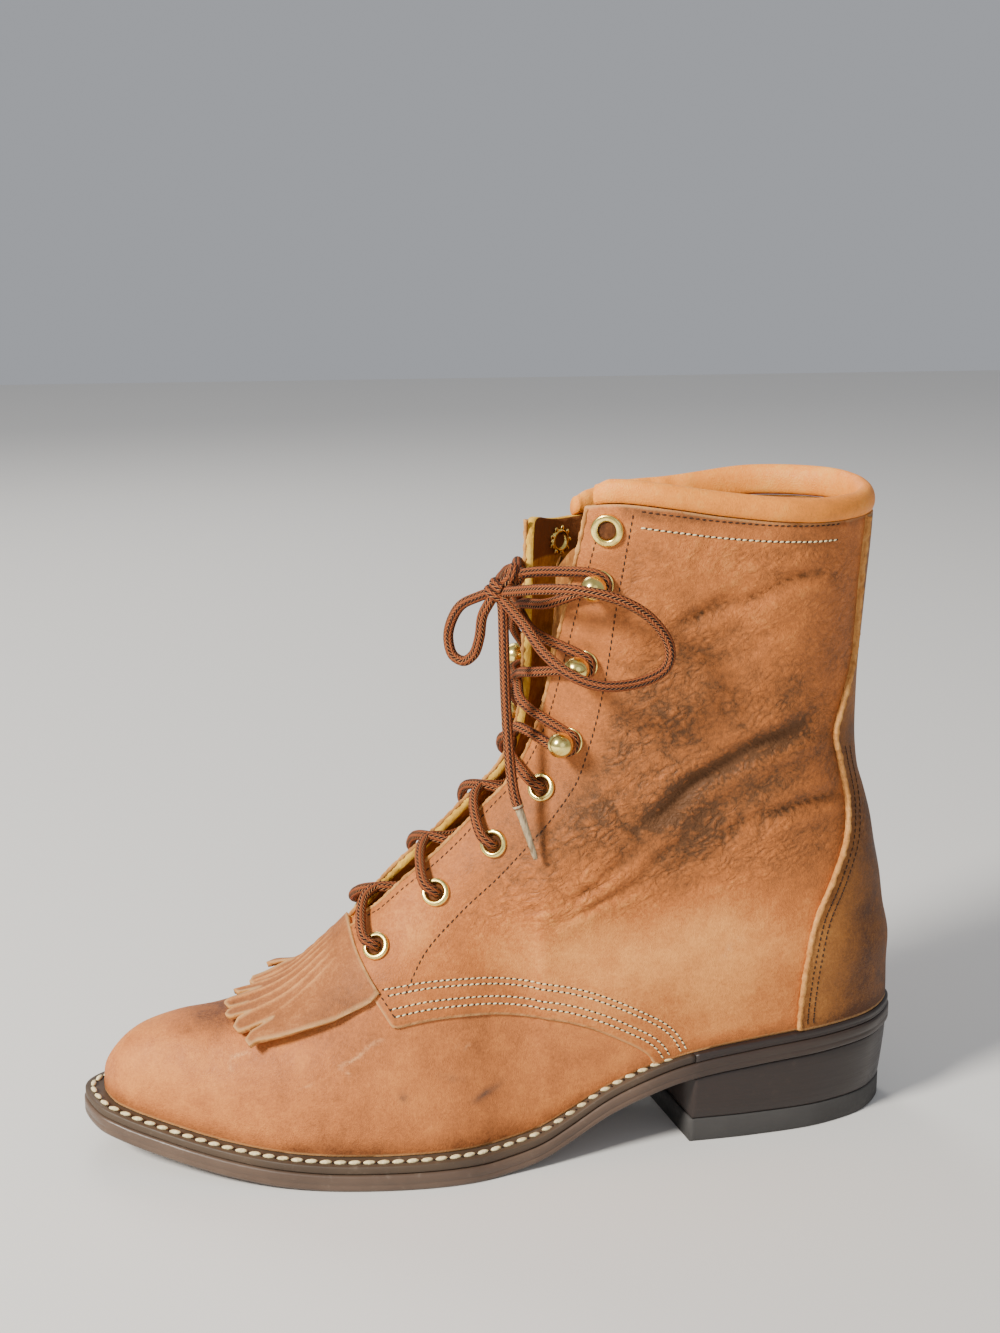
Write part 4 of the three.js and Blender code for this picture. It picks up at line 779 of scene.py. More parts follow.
# Shader writing.
class Value:
    """A shader value: arithmetic on it adds Math nodes."""

    def __init__(self, paint, socket):
        self.paint, self.socket = paint, socket

    def __add__(self, other):
        return self.paint.math("ADD", self, other)

    def __sub__(self, other):
        return self.paint.math("SUBTRACT", self, other)

    def __rsub__(self, other):
        return self.paint.math("SUBTRACT", other, self)

    def __mul__(self, other):
        return self.paint.math("MULTIPLY", self, other)

    def __truediv__(self, other):
        return self.paint.math("DIVIDE", self, other)

    def __pow__(self, other):
        return self.paint.math("POWER", self, other)

    __radd__ = __add__
    __rmul__ = __mul__


def linear(rgb):
    """An sRGB colour of 0 to 255 as linear values."""
    return tuple((c / 255 / 12.92 if c < 11 else ((c / 255 + 0.055) / 1.055) ** 2.4) for c in rgb) + (1.0,)


class Paint:
    """A material under construction, on one Principled shader."""

    def __init__(self, name, **constants):
        self.material = bpy.data.materials.new(name)
        self.material.use_nodes = True
        self.tree = self.material.node_tree
        self.shader = next(n for n in self.tree.nodes if n.type == "BSDF_PRINCIPLED")
        self.set(**{key.replace("_", " "): value for key, value in constants.items()})
        self.coords = None

    def set(self, **inputs):
        for key, value in inputs.items():
            self.join(self.shader.inputs[key.replace("_", " ")], value)

    def join(self, socket, value):
        if isinstance(value, Value):
            self.tree.links.new(value.socket, socket)
        else:
            socket.default_value = value

    def node(self, kind, settings=None, inputs=None, output=0):
        made = self.tree.nodes.new("ShaderNode" + kind)
        for key, value in (settings or {}).items():
            if key == "stops":
                ramp = made.color_ramp
                while len(ramp.elements) < len(value):
                    ramp.elements.new(0.5)
                for element, (at, colour) in zip(ramp.elements, value):
                    element.position, element.color = at, colour
            else:
                setattr(made, key, value)
        for key, value in (inputs or {}).items():
            self.join(made.inputs[key], value)
        return Value(self, made.outputs[output])

    def math(self, operation, *values):
        return self.node("Math", {"operation": operation}, dict(enumerate(values)))

    def where(self):
        """Object coordinates."""
        if self.coords is None:
            self.coords = self.node("TexCoord", output="Object")
        return self.coords

    def uv(self):
        return self.node("TexCoord", output="UV")

    def attribute(self, name):
        return self.node("Attribute", {"attribute_name": name}, output="Fac")

    def noise(self, scale, detail=3, roughness=0.55, vector=None, distortion=0.0):
        return self.node("TexNoise", None, {
            "Vector": vector or self.where(), "Scale": scale, "Detail": detail, "Roughness": roughness,
            "Distortion": distortion,
        })

    def stretched(self, scale, turn=(0, 0, 0)):
        """Object coordinates turned, then stretched."""
        first = self.node("Mapping", None, {"Vector": self.where(), "Rotation": turn})
        return self.node("Mapping", None, {"Vector": first, "Scale": scale})

    def creases(self, scale, turn):
        """Domed cells of grain between sharp creases, bent by a noise."""
        bend = self.node("TexNoise", None, {"Vector": self.where(), "Scale": 90.0, "Detail": 2.0}, 1)
        moved = {0: bend, 1: (0.007,) * 3, 2: self.where()}
        bent = self.node("VectorMath", {"operation": "MULTIPLY_ADD"}, moved)
        first = self.node("Mapping", None, {"Vector": bent, "Rotation": turn})
        laid = self.node("Mapping", None, {"Vector": first, "Scale": scale})
        cells = self.node("TexVoronoi", {"feature": "DISTANCE_TO_EDGE"}, {"Vector": laid, "Scale": 1.0})
        return self.range(cells, 0.0, 0.4) ** 0.85

    def range(self, value, low, high, to_low=0.0, to_high=1.0):
        return self.node("MapRange", None, {0: value, 1: low, 2: high, 3: to_low, 4: to_high})

    def mix(self, factor, first, second):
        return self.node("Mix", {"data_type": "RGBA"}, {0: factor, 6: first, 7: second}, 2)

    def part(self, vector, axis):
        """One of the three numbers of a vector."""
        return self.node("SeparateXYZ", None, {0: vector}, axis)

    def ramp(self, level, *stops):
        """A ramp through stops, each a place and an sRGB colour."""
        return self.node("ValToRGB", {"stops": [(at, linear(rgb)) for at, rgb in stops]}, {0: level})

    def bump(self, height, strength, distance):
        normal = self.node("Bump", None, {"Height": height, "Strength": strength, "Distance": distance * MM})
        self.set(Normal=normal)


def leather(name, middle, light, dark, wrinkled=1.0, shine=0.52, rubbed=1.0):
    """Pulled-up leather: mottled, paler where rubbed and along raw edges, with painted shade in its folds and
    grain creases, painted light on the rises between them, and the painted highlights and shade laid on the
    skin.
    """
    paint = Paint(name, Specular_IOR_Level=0.2)
    broad = paint.noise(22, 4, 0.6)
    mottle = paint.noise(150, 5, 0.62, distortion=0.4)
    fine = paint.noise(900, 4, 0.7)
    slanted = paint.noise(1, 4, 0.6, paint.stretched((180, 180, 420), (0, math.radians(33), 0)), 1.2)
    long_cells = paint.creases((150, 150, 330), (0, math.radians(30), 0))
    round_cells = paint.creases((330, 330, 470), (0, math.radians(-12), 0))
    grain = paint.creases((1150, 1150, 1150), (0, 0, 0))
    patchy = paint.range(paint.noise(34, 3, 0.6), 0.36, 0.62, 0.25, 1.0)
    tone = paint.attribute("tone")
    fold = paint.attribute("fold")
    wrinkle = paint.attribute("wrinkle") * wrinkled
    # Painted highlights and painted shade of the skin come in here.
    level = 0.5 + 0.66 * (broad - 0.5) + 0.4 * (mottle - 0.5) + 0.5 * (fine - 0.5) + 0.62 * tone
    # Painted shade in the creases of the grain and painted light on its domes; below, painted shade down in
    # the folds and painted light on their lips.
    crease_shade = 0.22 * (long_cells - 0.6) + 0.18 * (round_cells - 0.6)
    level = level + wrinkle * patchy * crease_shade - fold * 0.1
    level = level + wrinkle * (slanted - 0.5) * 0.24
    colour = paint.ramp(level, (0.12, dark), (0.5, middle), (0.88, light))
    rub = paint.range(paint.attribute("edge") + 0.9 * (fine - 0.5), 0.1, 1.1, 0.75 * rubbed, 0.0)
    colour = paint.mix(rub, colour, linear((205, 158, 104)))
    scratched = paint.attribute("scratch") * paint.range(fine, 0.35, 0.6)
    colour = paint.mix(scratched, colour, linear((228, 170, 116)))
    marked = paint.attribute("mark") * paint.range(mottle, 0.3, 0.55, 0.5, 1.0)
    colour = paint.mix(marked, colour, linear((74, 66, 60)))
    dullness = paint.range(mottle + 0.3 * fold, 0.2, 0.9, shine - 0.05, shine + 0.14)
    paint.set(Base_Color=colour, Roughness=dullness)
    creased = wrinkle * patchy * (0.36 * long_cells + 0.28 * round_cells + 0.34 * slanted)
    paint.bump(creased + mottle * 0.16 + fine * 0.09 + grain * 0.07, 1.0, 1.1)
    return paint.material


BROWN_FROM = 211.2


def suede(name, middle, light, dark, shine=0.9, top=None):
    """Rough leather with a nap, of another colour from BROWN_FROM up where a top is given."""
    paint = Paint(name, Specular_IOR_Level=0.2)
    nap = paint.noise(420, 5, 0.7)
    clumps = paint.noise(70, 4, 0.6)
    fluff = paint.noise(1, 4, 0.65, paint.stretched((900, 900, 260)))
    level = 0.5 + 0.7 * (nap - 0.5) + 0.6 * (clumps - 0.5) + 0.4 * (fluff - 0.5)
    colour = paint.ramp(level, (0.2, dark), (0.5, middle), (0.8, light))
    if top:
        above = paint.range(paint.part(paint.where(), 2), (BROWN_FROM - 0.5) * MM, (BROWN_FROM + 0.5) * MM)
        colour = paint.mix(above, colour, linear(top))
    paint.set(Base_Color=colour, Roughness=shine)
    paint.bump(nap * 0.7 + fluff * 0.6, 0.9, 0.6)
    return paint.material


def edge_ink(name, dark, light, shine=0.38):
    """Inked and burnished sole edge with fine scuffs along it."""
    paint = Paint(name, Specular_IOR_Level=0.45)
    grain = paint.noise(1, 5, 0.6, paint.stretched((60, 60, 900)))
    broad = paint.noise(40, 4, 0.6)
    scuff = paint.range(paint.noise(260, 4, 0.75), 0.58, 0.72)
    colour = paint.mix(broad, linear(dark), linear(light))
    colour = paint.mix(scuff * 0.4, colour, linear((122, 106, 90)))
    at_heel = paint.range(paint.part(paint.where(), 0), 45 * MM, 70 * MM, 0.0, 0.8)
    colour = paint.mix(at_heel, colour, linear((40, 31, 28)))
    paint.set(Base_Color=colour, Roughness=paint.range(grain + 0.5 * scuff, 0.3, 1.1, shine, shine + 0.3))
    paint.bump(grain * 0.6 + broad * 0.2, 0.5, 0.35)
    return paint.material


def rubber(name, dark, light):
    paint = Paint(name, Specular_IOR_Level=0.35)
    speck = paint.noise(700, 4, 0.6)
    broad = paint.noise(50, 3, 0.6)
    colour = paint.mix(broad * 0.6 + speck * 0.4, linear(dark), linear(light))
    paint.set(Base_Color=colour, Roughness=paint.range(speck, 0.3, 0.7, 0.6, 0.85))
    paint.bump(speck, 0.4, 0.25)
    return paint.material


def brass(name, bright, dull, shine=0.17):
    paint = Paint(name, Metallic=1.0)
    tarnish = paint.noise(300, 4, 0.65)
    lines = paint.noise(1500, 2, 0.5)
    paint.set(Base_Color=paint.mix(paint.range(tarnish, 0.45, 0.75), linear(bright), linear(dull)),
              Roughness=paint.range(tarnish + 0.3 * lines, 0.3, 1.0, shine, shine + 0.2))
    paint.bump(tarnish * 0.5 + lines * 0.2, 0.25, 0.12)
    return paint.material


def thread(name, pale, shade):
    paint = Paint(name, Specular_IOR_Level=0.3, Roughness=0.75)
    twist = paint.noise(1100, 3, 0.6)
    paint.set(Base_Color=paint.mix(paint.range(twist, 0.35, 0.7), linear(pale), linear(shade)))
    paint.bump(twist, 0.6, 0.2)
    return paint.material


LACE_PITCH = 1.5
LACE_COLUMNS = 12


def braid(name):
    """Round woven lace: columns of slanting stitches, every other one with black ticks, with painted shade in
    the grooves between the stitches.
    """
    paint = Paint(name, Specular_IOR_Level=0.2, Roughness=0.82)
    around, length = paint.part(paint.uv(), 0), paint.part(paint.uv(), 1)
    columns = around * LACE_COLUMNS
    across = paint.math("FRACT", columns)
    number = paint.math("FLOOR", columns)
    odd = paint.math("MODULO", number, 2.0)
    slant = (odd * 2 - 1) * (across - 0.5) * 0.9
    along = length / LACE_PITCH + slant
    stitch = paint.math("FRACT", along)
    fuzz = paint.noise(1500, 3, 0.6)
    lengthwise = 1 - paint.math("ABSOLUTE", stitch * 2 - 1) ** 2.5
    ridge = lengthwise * (1 - 0.55 * paint.math("ABSOLUTE", across * 2 - 1) ** 2.5)
    black = odd * paint.math("GREATER_THAN", stitch, 0.26)
    colour = paint.mix(fuzz, linear((112, 54, 28)), linear((186, 104, 58)))
    colour = paint.mix(odd * (1 - black) * 0.5, colour, linear((230, 166, 104)))
    colour = paint.mix(black * 0.96, colour, linear((24, 18, 22)))
    # Painted shade in the grooves between the stitches.
    colour = paint.mix(paint.range(ridge, 0.02, 0.42, 0.8, 0.0), colour, linear((44, 22, 14)))
    paint.set(Base_Color=colour)
    paint.bump(ridge * 0.9 + fuzz * 0.25, 0.9, 0.45)
    return paint.material


TAN = leather("tan_leather", (188, 110, 54), (238, 160, 84), (98, 64, 38))
VAMP_TAN = leather("vamp_leather", (188, 113, 60), (234, 152, 76), (104, 60, 34), 0.5)
COUNTER_TAN = leather("counter_leather", (158, 100, 46), (200, 142, 74), (84, 50, 26), 0.6)
KILTIE_BROWN = leather("kiltie_leather", (162, 98, 52), (216, 150, 88), (92, 56, 34), 0.6, 0.54)
LINING = leather("lining_leather", (148, 86, 44), (186, 120, 66), (90, 50, 28), 0.4, 0.6)
YELLOW_LINING = suede(
    "yellow_lining", (186, 126, 44), (228, 176, 74), (116, 72, 28), top=(128, 76, 38)
)
RAW = suede("raw_edge", (196, 136, 74), (228, 176, 108), (132, 80, 40))
CUFF_TAN = leather("cuff_leather", (248, 150, 54), (255, 190, 92), (186, 108, 50), 0.0, 0.44, 0.0)
TONGUE_SUEDE = suede("tongue_suede", (156, 98, 46), (204, 148, 72), (96, 56, 26))
# Raw yellow edge of the medial lining, its colour painted brighter with a highlight.
YELLOW_EDGE_HIGHLIGHT = suede("yellow_edge_highlight", (226, 176, 66), (246, 214, 110), (168, 112, 40))
INSOLE_TAN = suede("insole_leather", (168, 118, 68), (192, 142, 90), (120, 80, 46), 0.75)
SOLE_INK = edge_ink("sole_ink", (62, 48, 39), (112, 90, 74), 0.3)
WELT_INK = edge_ink("welt_ink", (54, 42, 32), (92, 74, 56), 0.5)
HEEL_INK = edge_ink("heel_ink", (38, 29, 26), (62, 50, 45), 0.32)
LIFT_RUBBER = rubber("lift_rubber", (50, 48, 47), (78, 76, 74))
BRASS = brass("pale_brass", (255, 232, 138), (206, 168, 80), 0.12)
CREAM = thread("cream_thread", (252, 238, 190), (206, 182, 126))
DARK_THREAD = thread("brown_thread", (66, 46, 34), (36, 26, 20))
HOLE_SUEDE = suede("hole_suede", (96, 56, 30), (140, 88, 50), (48, 28, 16))
# Dark dots that paint the shade of the needle holes.
HOLE_SHADE = thread("needle_hole_shade", (46, 30, 20), (26, 16, 10))
BRAID = braid("woven_lace")

# The upper's leathers.
LEATHER_SIDES = [TAN, LINING, RAW]
SEAM_ROWS = (3.9, 6.5, 10.9, 13.0)
COUNTER_ROWS = (3.6, 5.9)
VAMP_TOP = 106
CORNER = 9.0
THICKER = 0.15
to_lower = side_distance(LOWER_LINE, X, Z)
press = np.zeros(X.shape)
for row in SEAM_ROWS:
    press -= 0.22 * np.exp(-(((to_lower - row) / 0.7) ** 2))
quarter_roll = -0.45 * np.exp(-((to_quarter / 0.9) ** 2))
quarter_roll = quarter_roll - 0.35 * np.exp(-((np.abs(to_throat) / 0.9) ** 2)) * NEAR_FRONT
quarter_offset = OVERLAY + quarter_roll + press
panel("vamp", np.zeros(X.shape), (6 - to_quarter, to_seat, VAMP_TOP - Z), WALL + THICKER,
      [VAMP_TAN, LINING, RAW], ["upper"])
corner_gap = np.hypot(CORNER - np.minimum(to_throat, CORNER), CORNER - np.minimum(to_collar, CORNER))
in_corner = (to_throat < CORNER) & (to_collar < CORNER)
rounded_corner = np.where(in_corner, CORNER - corner_gap, np.minimum(to_throat, to_collar))
for name, opening, sides in (
    ("quarter_lateral", (to_throat, to_collar), LEATHER_SIDES),
    # The medial quarter's rim is its raw yellow edge with a painted highlight.
    ("quarter_medial", (rounded_corner,), [TAN, YELLOW_LINING, YELLOW_EDGE_HIGHLIGHT]),
):
    side_field = (SIDE - COLUMNS + 0.01) * (1.0 if name.endswith("lateral") else -1.0)
    panel(name, quarter_offset, (to_quarter, side_field, *opening, 6 - to_counter, to_seat),
          WALL + OVERLAY, sides, ["upper"])
panel("counter", 2 * OVERLAY - 0.5 * np.exp(-(to_counter**2)), (to_counter, to_collar, to_seat),
      WALL + 2 * OVERLAY + THICKER, [COUNTER_TAN, LINING, RAW], ["upper"])

# Kiltie, laid on the vamp inside a fringed plan.
KILTIE = (
    (-0.302, -0.208), (-0.317, -0.15), (-0.326, -0.094), (-0.327, -0.034), (-0.314, 0.022), (-0.295, 0.074),
    (-0.268, 0.128), (-0.24, 0.186),
)


SLIT_DEPTHS = (0.032, 0.022, 0.027)


def kiltie_plan():
    """Outline of the kiltie seen from above: its edge, then each tip and the slit behind it."""
    points = [(-0.165, -0.05), (-0.15, -0.286), (-0.163, -0.292), (-0.203, -0.28), (-0.26, -0.245)]
    points.append((-0.288, -0.224))
    for k, (x, y) in enumerate(KILTIE):
        points += [(x + 0.006, y - 0.02), (x, y + 0.002), (x + 0.006, y + 0.02)]
        if k + 1 < len(KILTIE):
            nx, ny = KILTIE[k + 1]
            middle, mouth = (y + ny) / 2, max(x, nx)
            points += [(mouth + 0.008, middle - 0.006), (mouth + SLIT_DEPTHS[k % 3], middle * 0.98)]
            points.append((mouth + 0.008, middle + 0.006))
    points += [(-0.19, 0.24), (-0.17, 0.05)]
    return np.array(points) * (SOLE_LENGTH, BALL_WIDTH)


def inside_plan(plan, x, y):
    """Signed distance from a closed plan: positive inside."""
    best = np.full(x.shape, 1e9)
    inside = np.zeros(x.shape, bool)
    for (ax, ay), (bx, by) in zip(plan, np.roll(plan, -1, axis=0)):
        t = np.clip(((x - ax) * (bx - ax) + (y - ay) * (by - ay)) / ((bx - ax) ** 2 + (by - ay) ** 2), 0, 1)
        best = np.minimum(best, np.hypot(x - ax - t * (bx - ax), y - ay - t * (by - ay)))
        inside ^= ((ay > y) != (by > y)) & (x < (bx - ax) * (y - ay) / (by - ay + 1e-12) + ax)
    return np.where(inside, best, -best)


plan_field = np.where(NEAR_FRONT & (Z > 30), inside_plan(kiltie_plan(), X, Y), -5.0)
fan = Y / (1 + 0.012 * (-50 - X))
pleats = np.exp(-((((fan * 0.3) % 1) - 0.5) / 0.13) ** 2)
pleats = 0.55 * (pleats * smooth((-54 - X) / 14) * smooth((17 - np.abs(Y + 2)) / 7))
lift_edge = 3.0 * smooth((-Y - 13) / 12) * smooth((-52 - X) / 22)
tip_lift = 2.8 * smooth((-72 - X) / 26) * (0.75 + 0.25 * np.sin(Y * 0.5 + 1))
tip_lift += 4.2 * smooth((Y - 6) / 7) * smooth((-70 - X) / 9)
# The kiltie takes half of the skin's painted highlights and shade, and is paler along its pleats.
panel("kiltie", KILTIE_THICKNESS + GAP + pleats + tip_lift + lift_edge, (plan_field, -to_quarter + 3),
      KILTIE_THICKNESS, [KILTIE_BROWN, RAW, RAW], ["kiltie"], tone=0.5 * PAINTED_LIGHT_AND_TONE + pleats)


# Sole pieces, ribbed across their length.
def slab(layers, stations=240, across=8):
    """A slab whose rim follows layers of inset and height, from the bottom up."""
    t = (1 - np.cos(np.linspace(0, math.pi, stations))) / 2
    t = mix(np.linspace(0, 1, stations), t, 0.9)
    lateral, medial = [], []
    for inset, height in layers:
        for half, found in zip(sides_of(inset), (lateral, medial)):
            x = mix(half[0, 0], half[-1, 0], t)
            x[0], x[-1] = half[0, 0], half[-1, 0]
            y = np.interp(x, half[:, 0], half[:, 1])
            y[0], y[-1] = half[0, 1], half[-1, 1]
            found.append(np.stack([x, y, height(x) + 0 * x], 1))
    share = np.linspace(0, 1, across + 2)[1:-1]
    columns = lateral + [mix(lateral[-1], medial[-1], s) for s in share] + medial[::-1]
    columns += [mix(medial[0], lateral[0], s) for s in share] + [lateral[0]]
    bm, _ = laid_grid(np.stack(columns, 1))
    return tidied(bm, 1e-6)


def cut_breast(bm, shift, keep_behind):
    """Cuts a slab along the slanted breast line and keeps one part, its face closed."""
    turn = math.radians(BREAST_SLANT)
    normal = Vector((math.cos(turn), math.sin(turn), 0))
    bmesh.ops.bisect_plane(
        bm, geom=bm.verts[:] + bm.edges[:] + bm.faces[:], dist=1e-7,
        plane_co=Vector((0.5 * SOLE_LENGTH - HEEL_LENGTH + shift, 0, 0)) * MM, plane_no=normal,
        clear_inner=keep_behind, clear_outer=not keep_behind,
    )
    return tidied(bm)


def rim_layers(low, high, inset, edge=0.5, grooves=(), depth=0.3):
    """Rounded rim between two heights, with grooves at shares of it."""
    layers = [(inset + edge, low), (inset + 0.35 * edge, lambda x: low(x) + 0.3 * edge)]
    layers.append((inset, lambda x: low(x) + edge))
    for share in grooves:
        for side, d in ((-0.35, 0), (0, depth), (0.35, 0)):
            layers.append((inset + d, lambda x, s=share, o=side: mix(low(x), high(x), s) + o))
    layers += [(inset, lambda x: high(x) - edge), (inset + 0.35 * edge, lambda x: high(x) - 0.3 * edge)]
    layers.append((inset + edge, high))
    return layers


def sole_top(x):
    return seat(x) - WELT_THICKNESS - GAP


def level(height):
    return lambda x: height + 0 * x


sole = slab(rim_layers(underside, sole_top, 0, 0.9, (0.42,), 0.22))
linked("outsole_dressed", mesh_of(sole, "outsole_dressed"), SOLE_INK, ["outsole"])
rand = cut_breast(slab(rim_layers(lambda x: sole_top(x) - 0.1, seat, 0.45, 0.7, (0.4,), 0.2)), 0, True)
linked("heel_rand", mesh_of(rand, "heel_rand"), HEEL_INK, ["outsole"])
strip = cut_breast(slab(rim_layers(lambda x: seat(x) - WELT_THICKNESS, seat, 0.5, 0.6)), -GAP, False)
linked("welt_dressed", mesh_of(strip, "welt_dressed"), WELT_INK, ["welt"])
linked("insole_dressed", mesh_of(slab([
    (lambda x: shelf(x) + WALL + 1.4, lambda x: seat(x) + GAP),
    (lambda x: shelf(x) + WALL + 1.4, lambda x: seat(x) + GAP + INSOLE_THICKNESS),
]), "insole_dressed"), INSOLE_TAN, ["insole"])


def heel_top(x):
    return np.maximum(underside(x) - GAP, LIFT_THICKNESS + 2 * GAP)


def heel_stack():
    """Stacked heel: flared to the seat, with a line between its layers."""
    layers = []
    base = LIFT_THICKNESS + GAP
    for share, groove in ((0, 0.15), (0.03, 0), (0.25, 0), (0.5, 0), (0.75, 0), (0.97, 0), (1, 0.3)):
        inset = 1 + HEEL_TAPER * 0.8 * (1 - share) ** 1.4 + groove
        layers.append((inset, lambda x, s=share: mix(base, heel_top(x), s)))
    return cut_breast(slab(layers), 0, True)


linked("heel_stack", mesh_of(heel_stack(), "heel_stack"), HEEL_INK, ["heel_base"])
lift = cut_breast(slab(rim_layers(level(0.0), level(LIFT_THICKNESS), 1 + HEEL_TAPER * 0.75, 0.6)), -0.6, True)
linked("heel_lift_dressed", mesh_of(lift, "heel_lift_dressed"), LIFT_RUBBER, ["heel_lift"])


# Stitches.
def stitch_mesh(long, wide, high):
    """One stitch lying along X, rounded and low."""
    bm = bmesh.new()
    bmesh.ops.create_uvsphere(bm, u_segments=8, v_segments=6, radius=0.5)
    bmesh.ops.scale(bm, vec=(long * MM, wide * MM, high * MM), verts=bm.verts)
    return mesh_of(bm, "stitch")


def stitches(path, pitch, slant=0.0, sink=0.0):
    """Matrices of stitches along a path, each slanted across it."""
    found = []
    if len(path) < 4:
        return found
    for point, normal, ahead in zip(*even(path, pitch)):
        ahead = Vector(ahead).normalized()
        turned_ahead = Matrix.Rotation(math.radians(slant), 3, Vector(normal)) @ ahead
        found.append(placed_matrix(point + normal * sink, normal, turned_ahead))
    return found


def holes(path, pitch, sink):
    shifted = []
    if len(path) < 4:
        return shifted
    points, normals, ahead = even(path, pitch)
    for point, normal, way in zip(points, normals, ahead):
        way = way / np.linalg.norm(way)
        shifted.append(placed_matrix(point + way * pitch / 2 + normal * sink, normal, way))
    return shifted


LATERAL_COLUMNS, MEDIAL_COLUMNS = range(0, SIDE), range(SIDE + 1, 2 * SIDE + 1)
FRONT_EDGE = side_line(QUARTER_FRONT, 60)
to_front_edge = side_distance(FRONT_EDGE, X, Z)


def moved_in(line, distance):
    """A line of the side view moved to its right-hand side."""
    along = np.gradient(line, axis=0)
    along /= np.linalg.norm(along, axis=1)[:, None]
    return line + np.stack([along[:, 1], -along[:, 0]], 1) * distance


def on_panel(line, sign, name):
    """Points and normals where a line of the side view lies on a panel."""
    found = []
    for x, z in line:
        point, normal = skin_at(x, z, sign)
        hit, out, _, _ = SURFACES[name].ray_cast(Vector(point + normal * 9) * MM, -Vector(normal), 18 * MM)
        if hit is not None:
            out = -out if out.dot(Vector(normal)) < 0 else out
            found.append([*(hit / MM), *(0.5 * np.array(out) + 0.5 * normal)])
    return np.array(found)


cream_paths, dark_paths, hole_paths, bead_paths = [], [], [], []
SIDES = ((-1, LATERAL_COLUMNS, "quarter_lateral"), (1, MEDIAL_COLUMNS, "quarter_medial"))
for sign, side_columns, quarter in SIDES:
    outward = list(side_columns)[::-1] if sign < 0 else list(side_columns)
    for row in SEAM_ROWS:
        line = moved_in(side_line(QUARTER_LOWER, 260), row)
        line = line[side_distance(FRONT_EDGE, line[:, 0], line[:, 1]) > 3.2]
        line = line[line[:, 1] - seat(line[:, 0]) > 1.4]
        path = on_panel(line, sign, quarter)
        cream_paths.append(path)
        hole_paths.append(path)
    line = moved_in(FRONT_EDGE, 2.7)
    line = line[(side_distance(LOWER_LINE, line[:, 0], line[:, 1]) > 2.8) & (line[:, 1] < 80)]
    dark_paths.append(on_panel(line, sign, quarter))
    facing = contour(np.where(to_front_edge > 3.4, to_throat, -9.0), 3.4, outward, quarter_offset)
    dark_paths.append(smoothed(facing[facing[:, 2] < (236 if sign < 0 else 212)]))
    on_facing = np.where((to_front_edge > 0) & (to_collar > 0.6), to_throat, -9.0)
    bead_paths.append(smoothed(contour(on_facing, 0.45, outward, quarter_offset)))
    for row in COUNTER_ROWS:
        line = moved_in(side_line(COUNTER_EDGE, 320), row)
        line = line[(line[:, 1] - seat(line[:, 0]) > 1.5) & (line[:, 1] < 146)]
        path = on_panel(line, sign, "counter")
        dark_paths.append(path)
        hole_paths.append(path)
    line = moved_in(side_line(COUNTER_EDGE, 320), 0.6)
    line = line[(line[:, 1] - seat(line[:, 0]) > 0.5) & (line[:, 1] < cut_edge(line[:, 0], sign * 20) - 0.5)]
    bead_paths.append(on_panel(line, sign, "counter"))
    x = np.linspace(43 if sign < 0 else 36, 113, 120)
    for paths, drop in ((cream_paths, 6.4), (dark_paths, 0.9)):
        rim = on_panel(np.stack([x, cut_edge(x, sign * 30) - drop], 1), sign, quarter)
        paths.append(rim)
        if paths is cream_paths:
            hole_paths.append(rim)

STAY = (
    (41, 236), (39, 223), (36, 202), (34, 184), (32, 170), (28, 152), (23, 138), (10, 121), (-3, 105),
    (-17, 92), (-30, 79), (-38, 65),
)
for sign, top, quarter in ((-1, 236, "quarter_lateral"), (1, 214, "quarter_medial")):
    line = spline(STAY, 220)
    line = line[line[:, 1] < top]
    line[:, 0] -= 0 if sign < 0 else 8 * smooth((line[:, 1] - 120) / 60)
    dark_paths.append(on_panel(line, sign, quarter))

SEAM_PITCH, DARK_PITCH, WELT_PITCH = 2.2, 2.3, 5.08
cream, dark, pricks = [], [], []
for path in cream_paths:
    cream += stitches(path, SEAM_PITCH, 12, 0.1)
for path in dark_paths:
    dark += stitches(path, DARK_PITCH, 8, 0.06)
for path in hole_paths:
    pricks += holes(path, SEAM_PITCH, 0.06)


def sewn(name, stitch, matrices, material, node):
    """Copies of one stitch of a length, width and height, as one piece."""
    linked(name, mesh_of(repeated(stitch_mesh(*stitch), matrices), name), material, [node])


sewn("cream_stitches", (1.7, 0.66, 0.6), cream, CREAM, "upper")
sewn("brown_stitches", (1.65, 0.56, 0.4), dark, DARK_THREAD, "upper")
# Painted shade of the needle holes beside the seams.
sewn("needle_holes", (0.8, 0.75, 0.25), pricks, HOLE_SHADE, "upper")


def joined(name, parts, material, replaces):
    """Several bmeshes as one piece."""
    bm = bmesh.new()
    for part in parts:
        mesh = mesh_of(part, name)
        bm.from_mesh(mesh)
        bpy.data.meshes.remove(mesh)
    return linked(name, mesh_of(bm, name), material, replaces)


BEAD_POINTS = 260


def beads():
    """Raw light edges, folded and a little ragged, along the facings and the counter."""
    found = []
    for number, path in enumerate(bead_paths):
        line = respaced(smoothed(path, 4)[:, :3], BEAD_POINTS)
        wobble = 0.12 * np.sin(np.arange(BEAD_POINTS) * 0.9 + number) + 0.1 * rng.normal(size=BEAD_POINTS)
        found.append(tube(line, (0.8 if number % 2 == 0 else 1.05) + wobble, 8))
    return found


joined("raw_beads", beads(), RAW, ["upper"])


def welt_seam():
    """Fat stitches on the welt from breast to breast round the toe."""
    lateral, medial = sides_of(3.3)
    loop = np.vstack([medial[::-1], lateral[1:]])
    keep = loop[:, 0] < 0.5 * SOLE_LENGTH - HEEL_LENGTH - 2
    loop = respaced(loop[keep], 900)
    upward = np.tile([0.0, 0.0, 1.0], (len(loop), 1))
    return np.concatenate([loop, seat(loop[:, :1]), upward], 1)


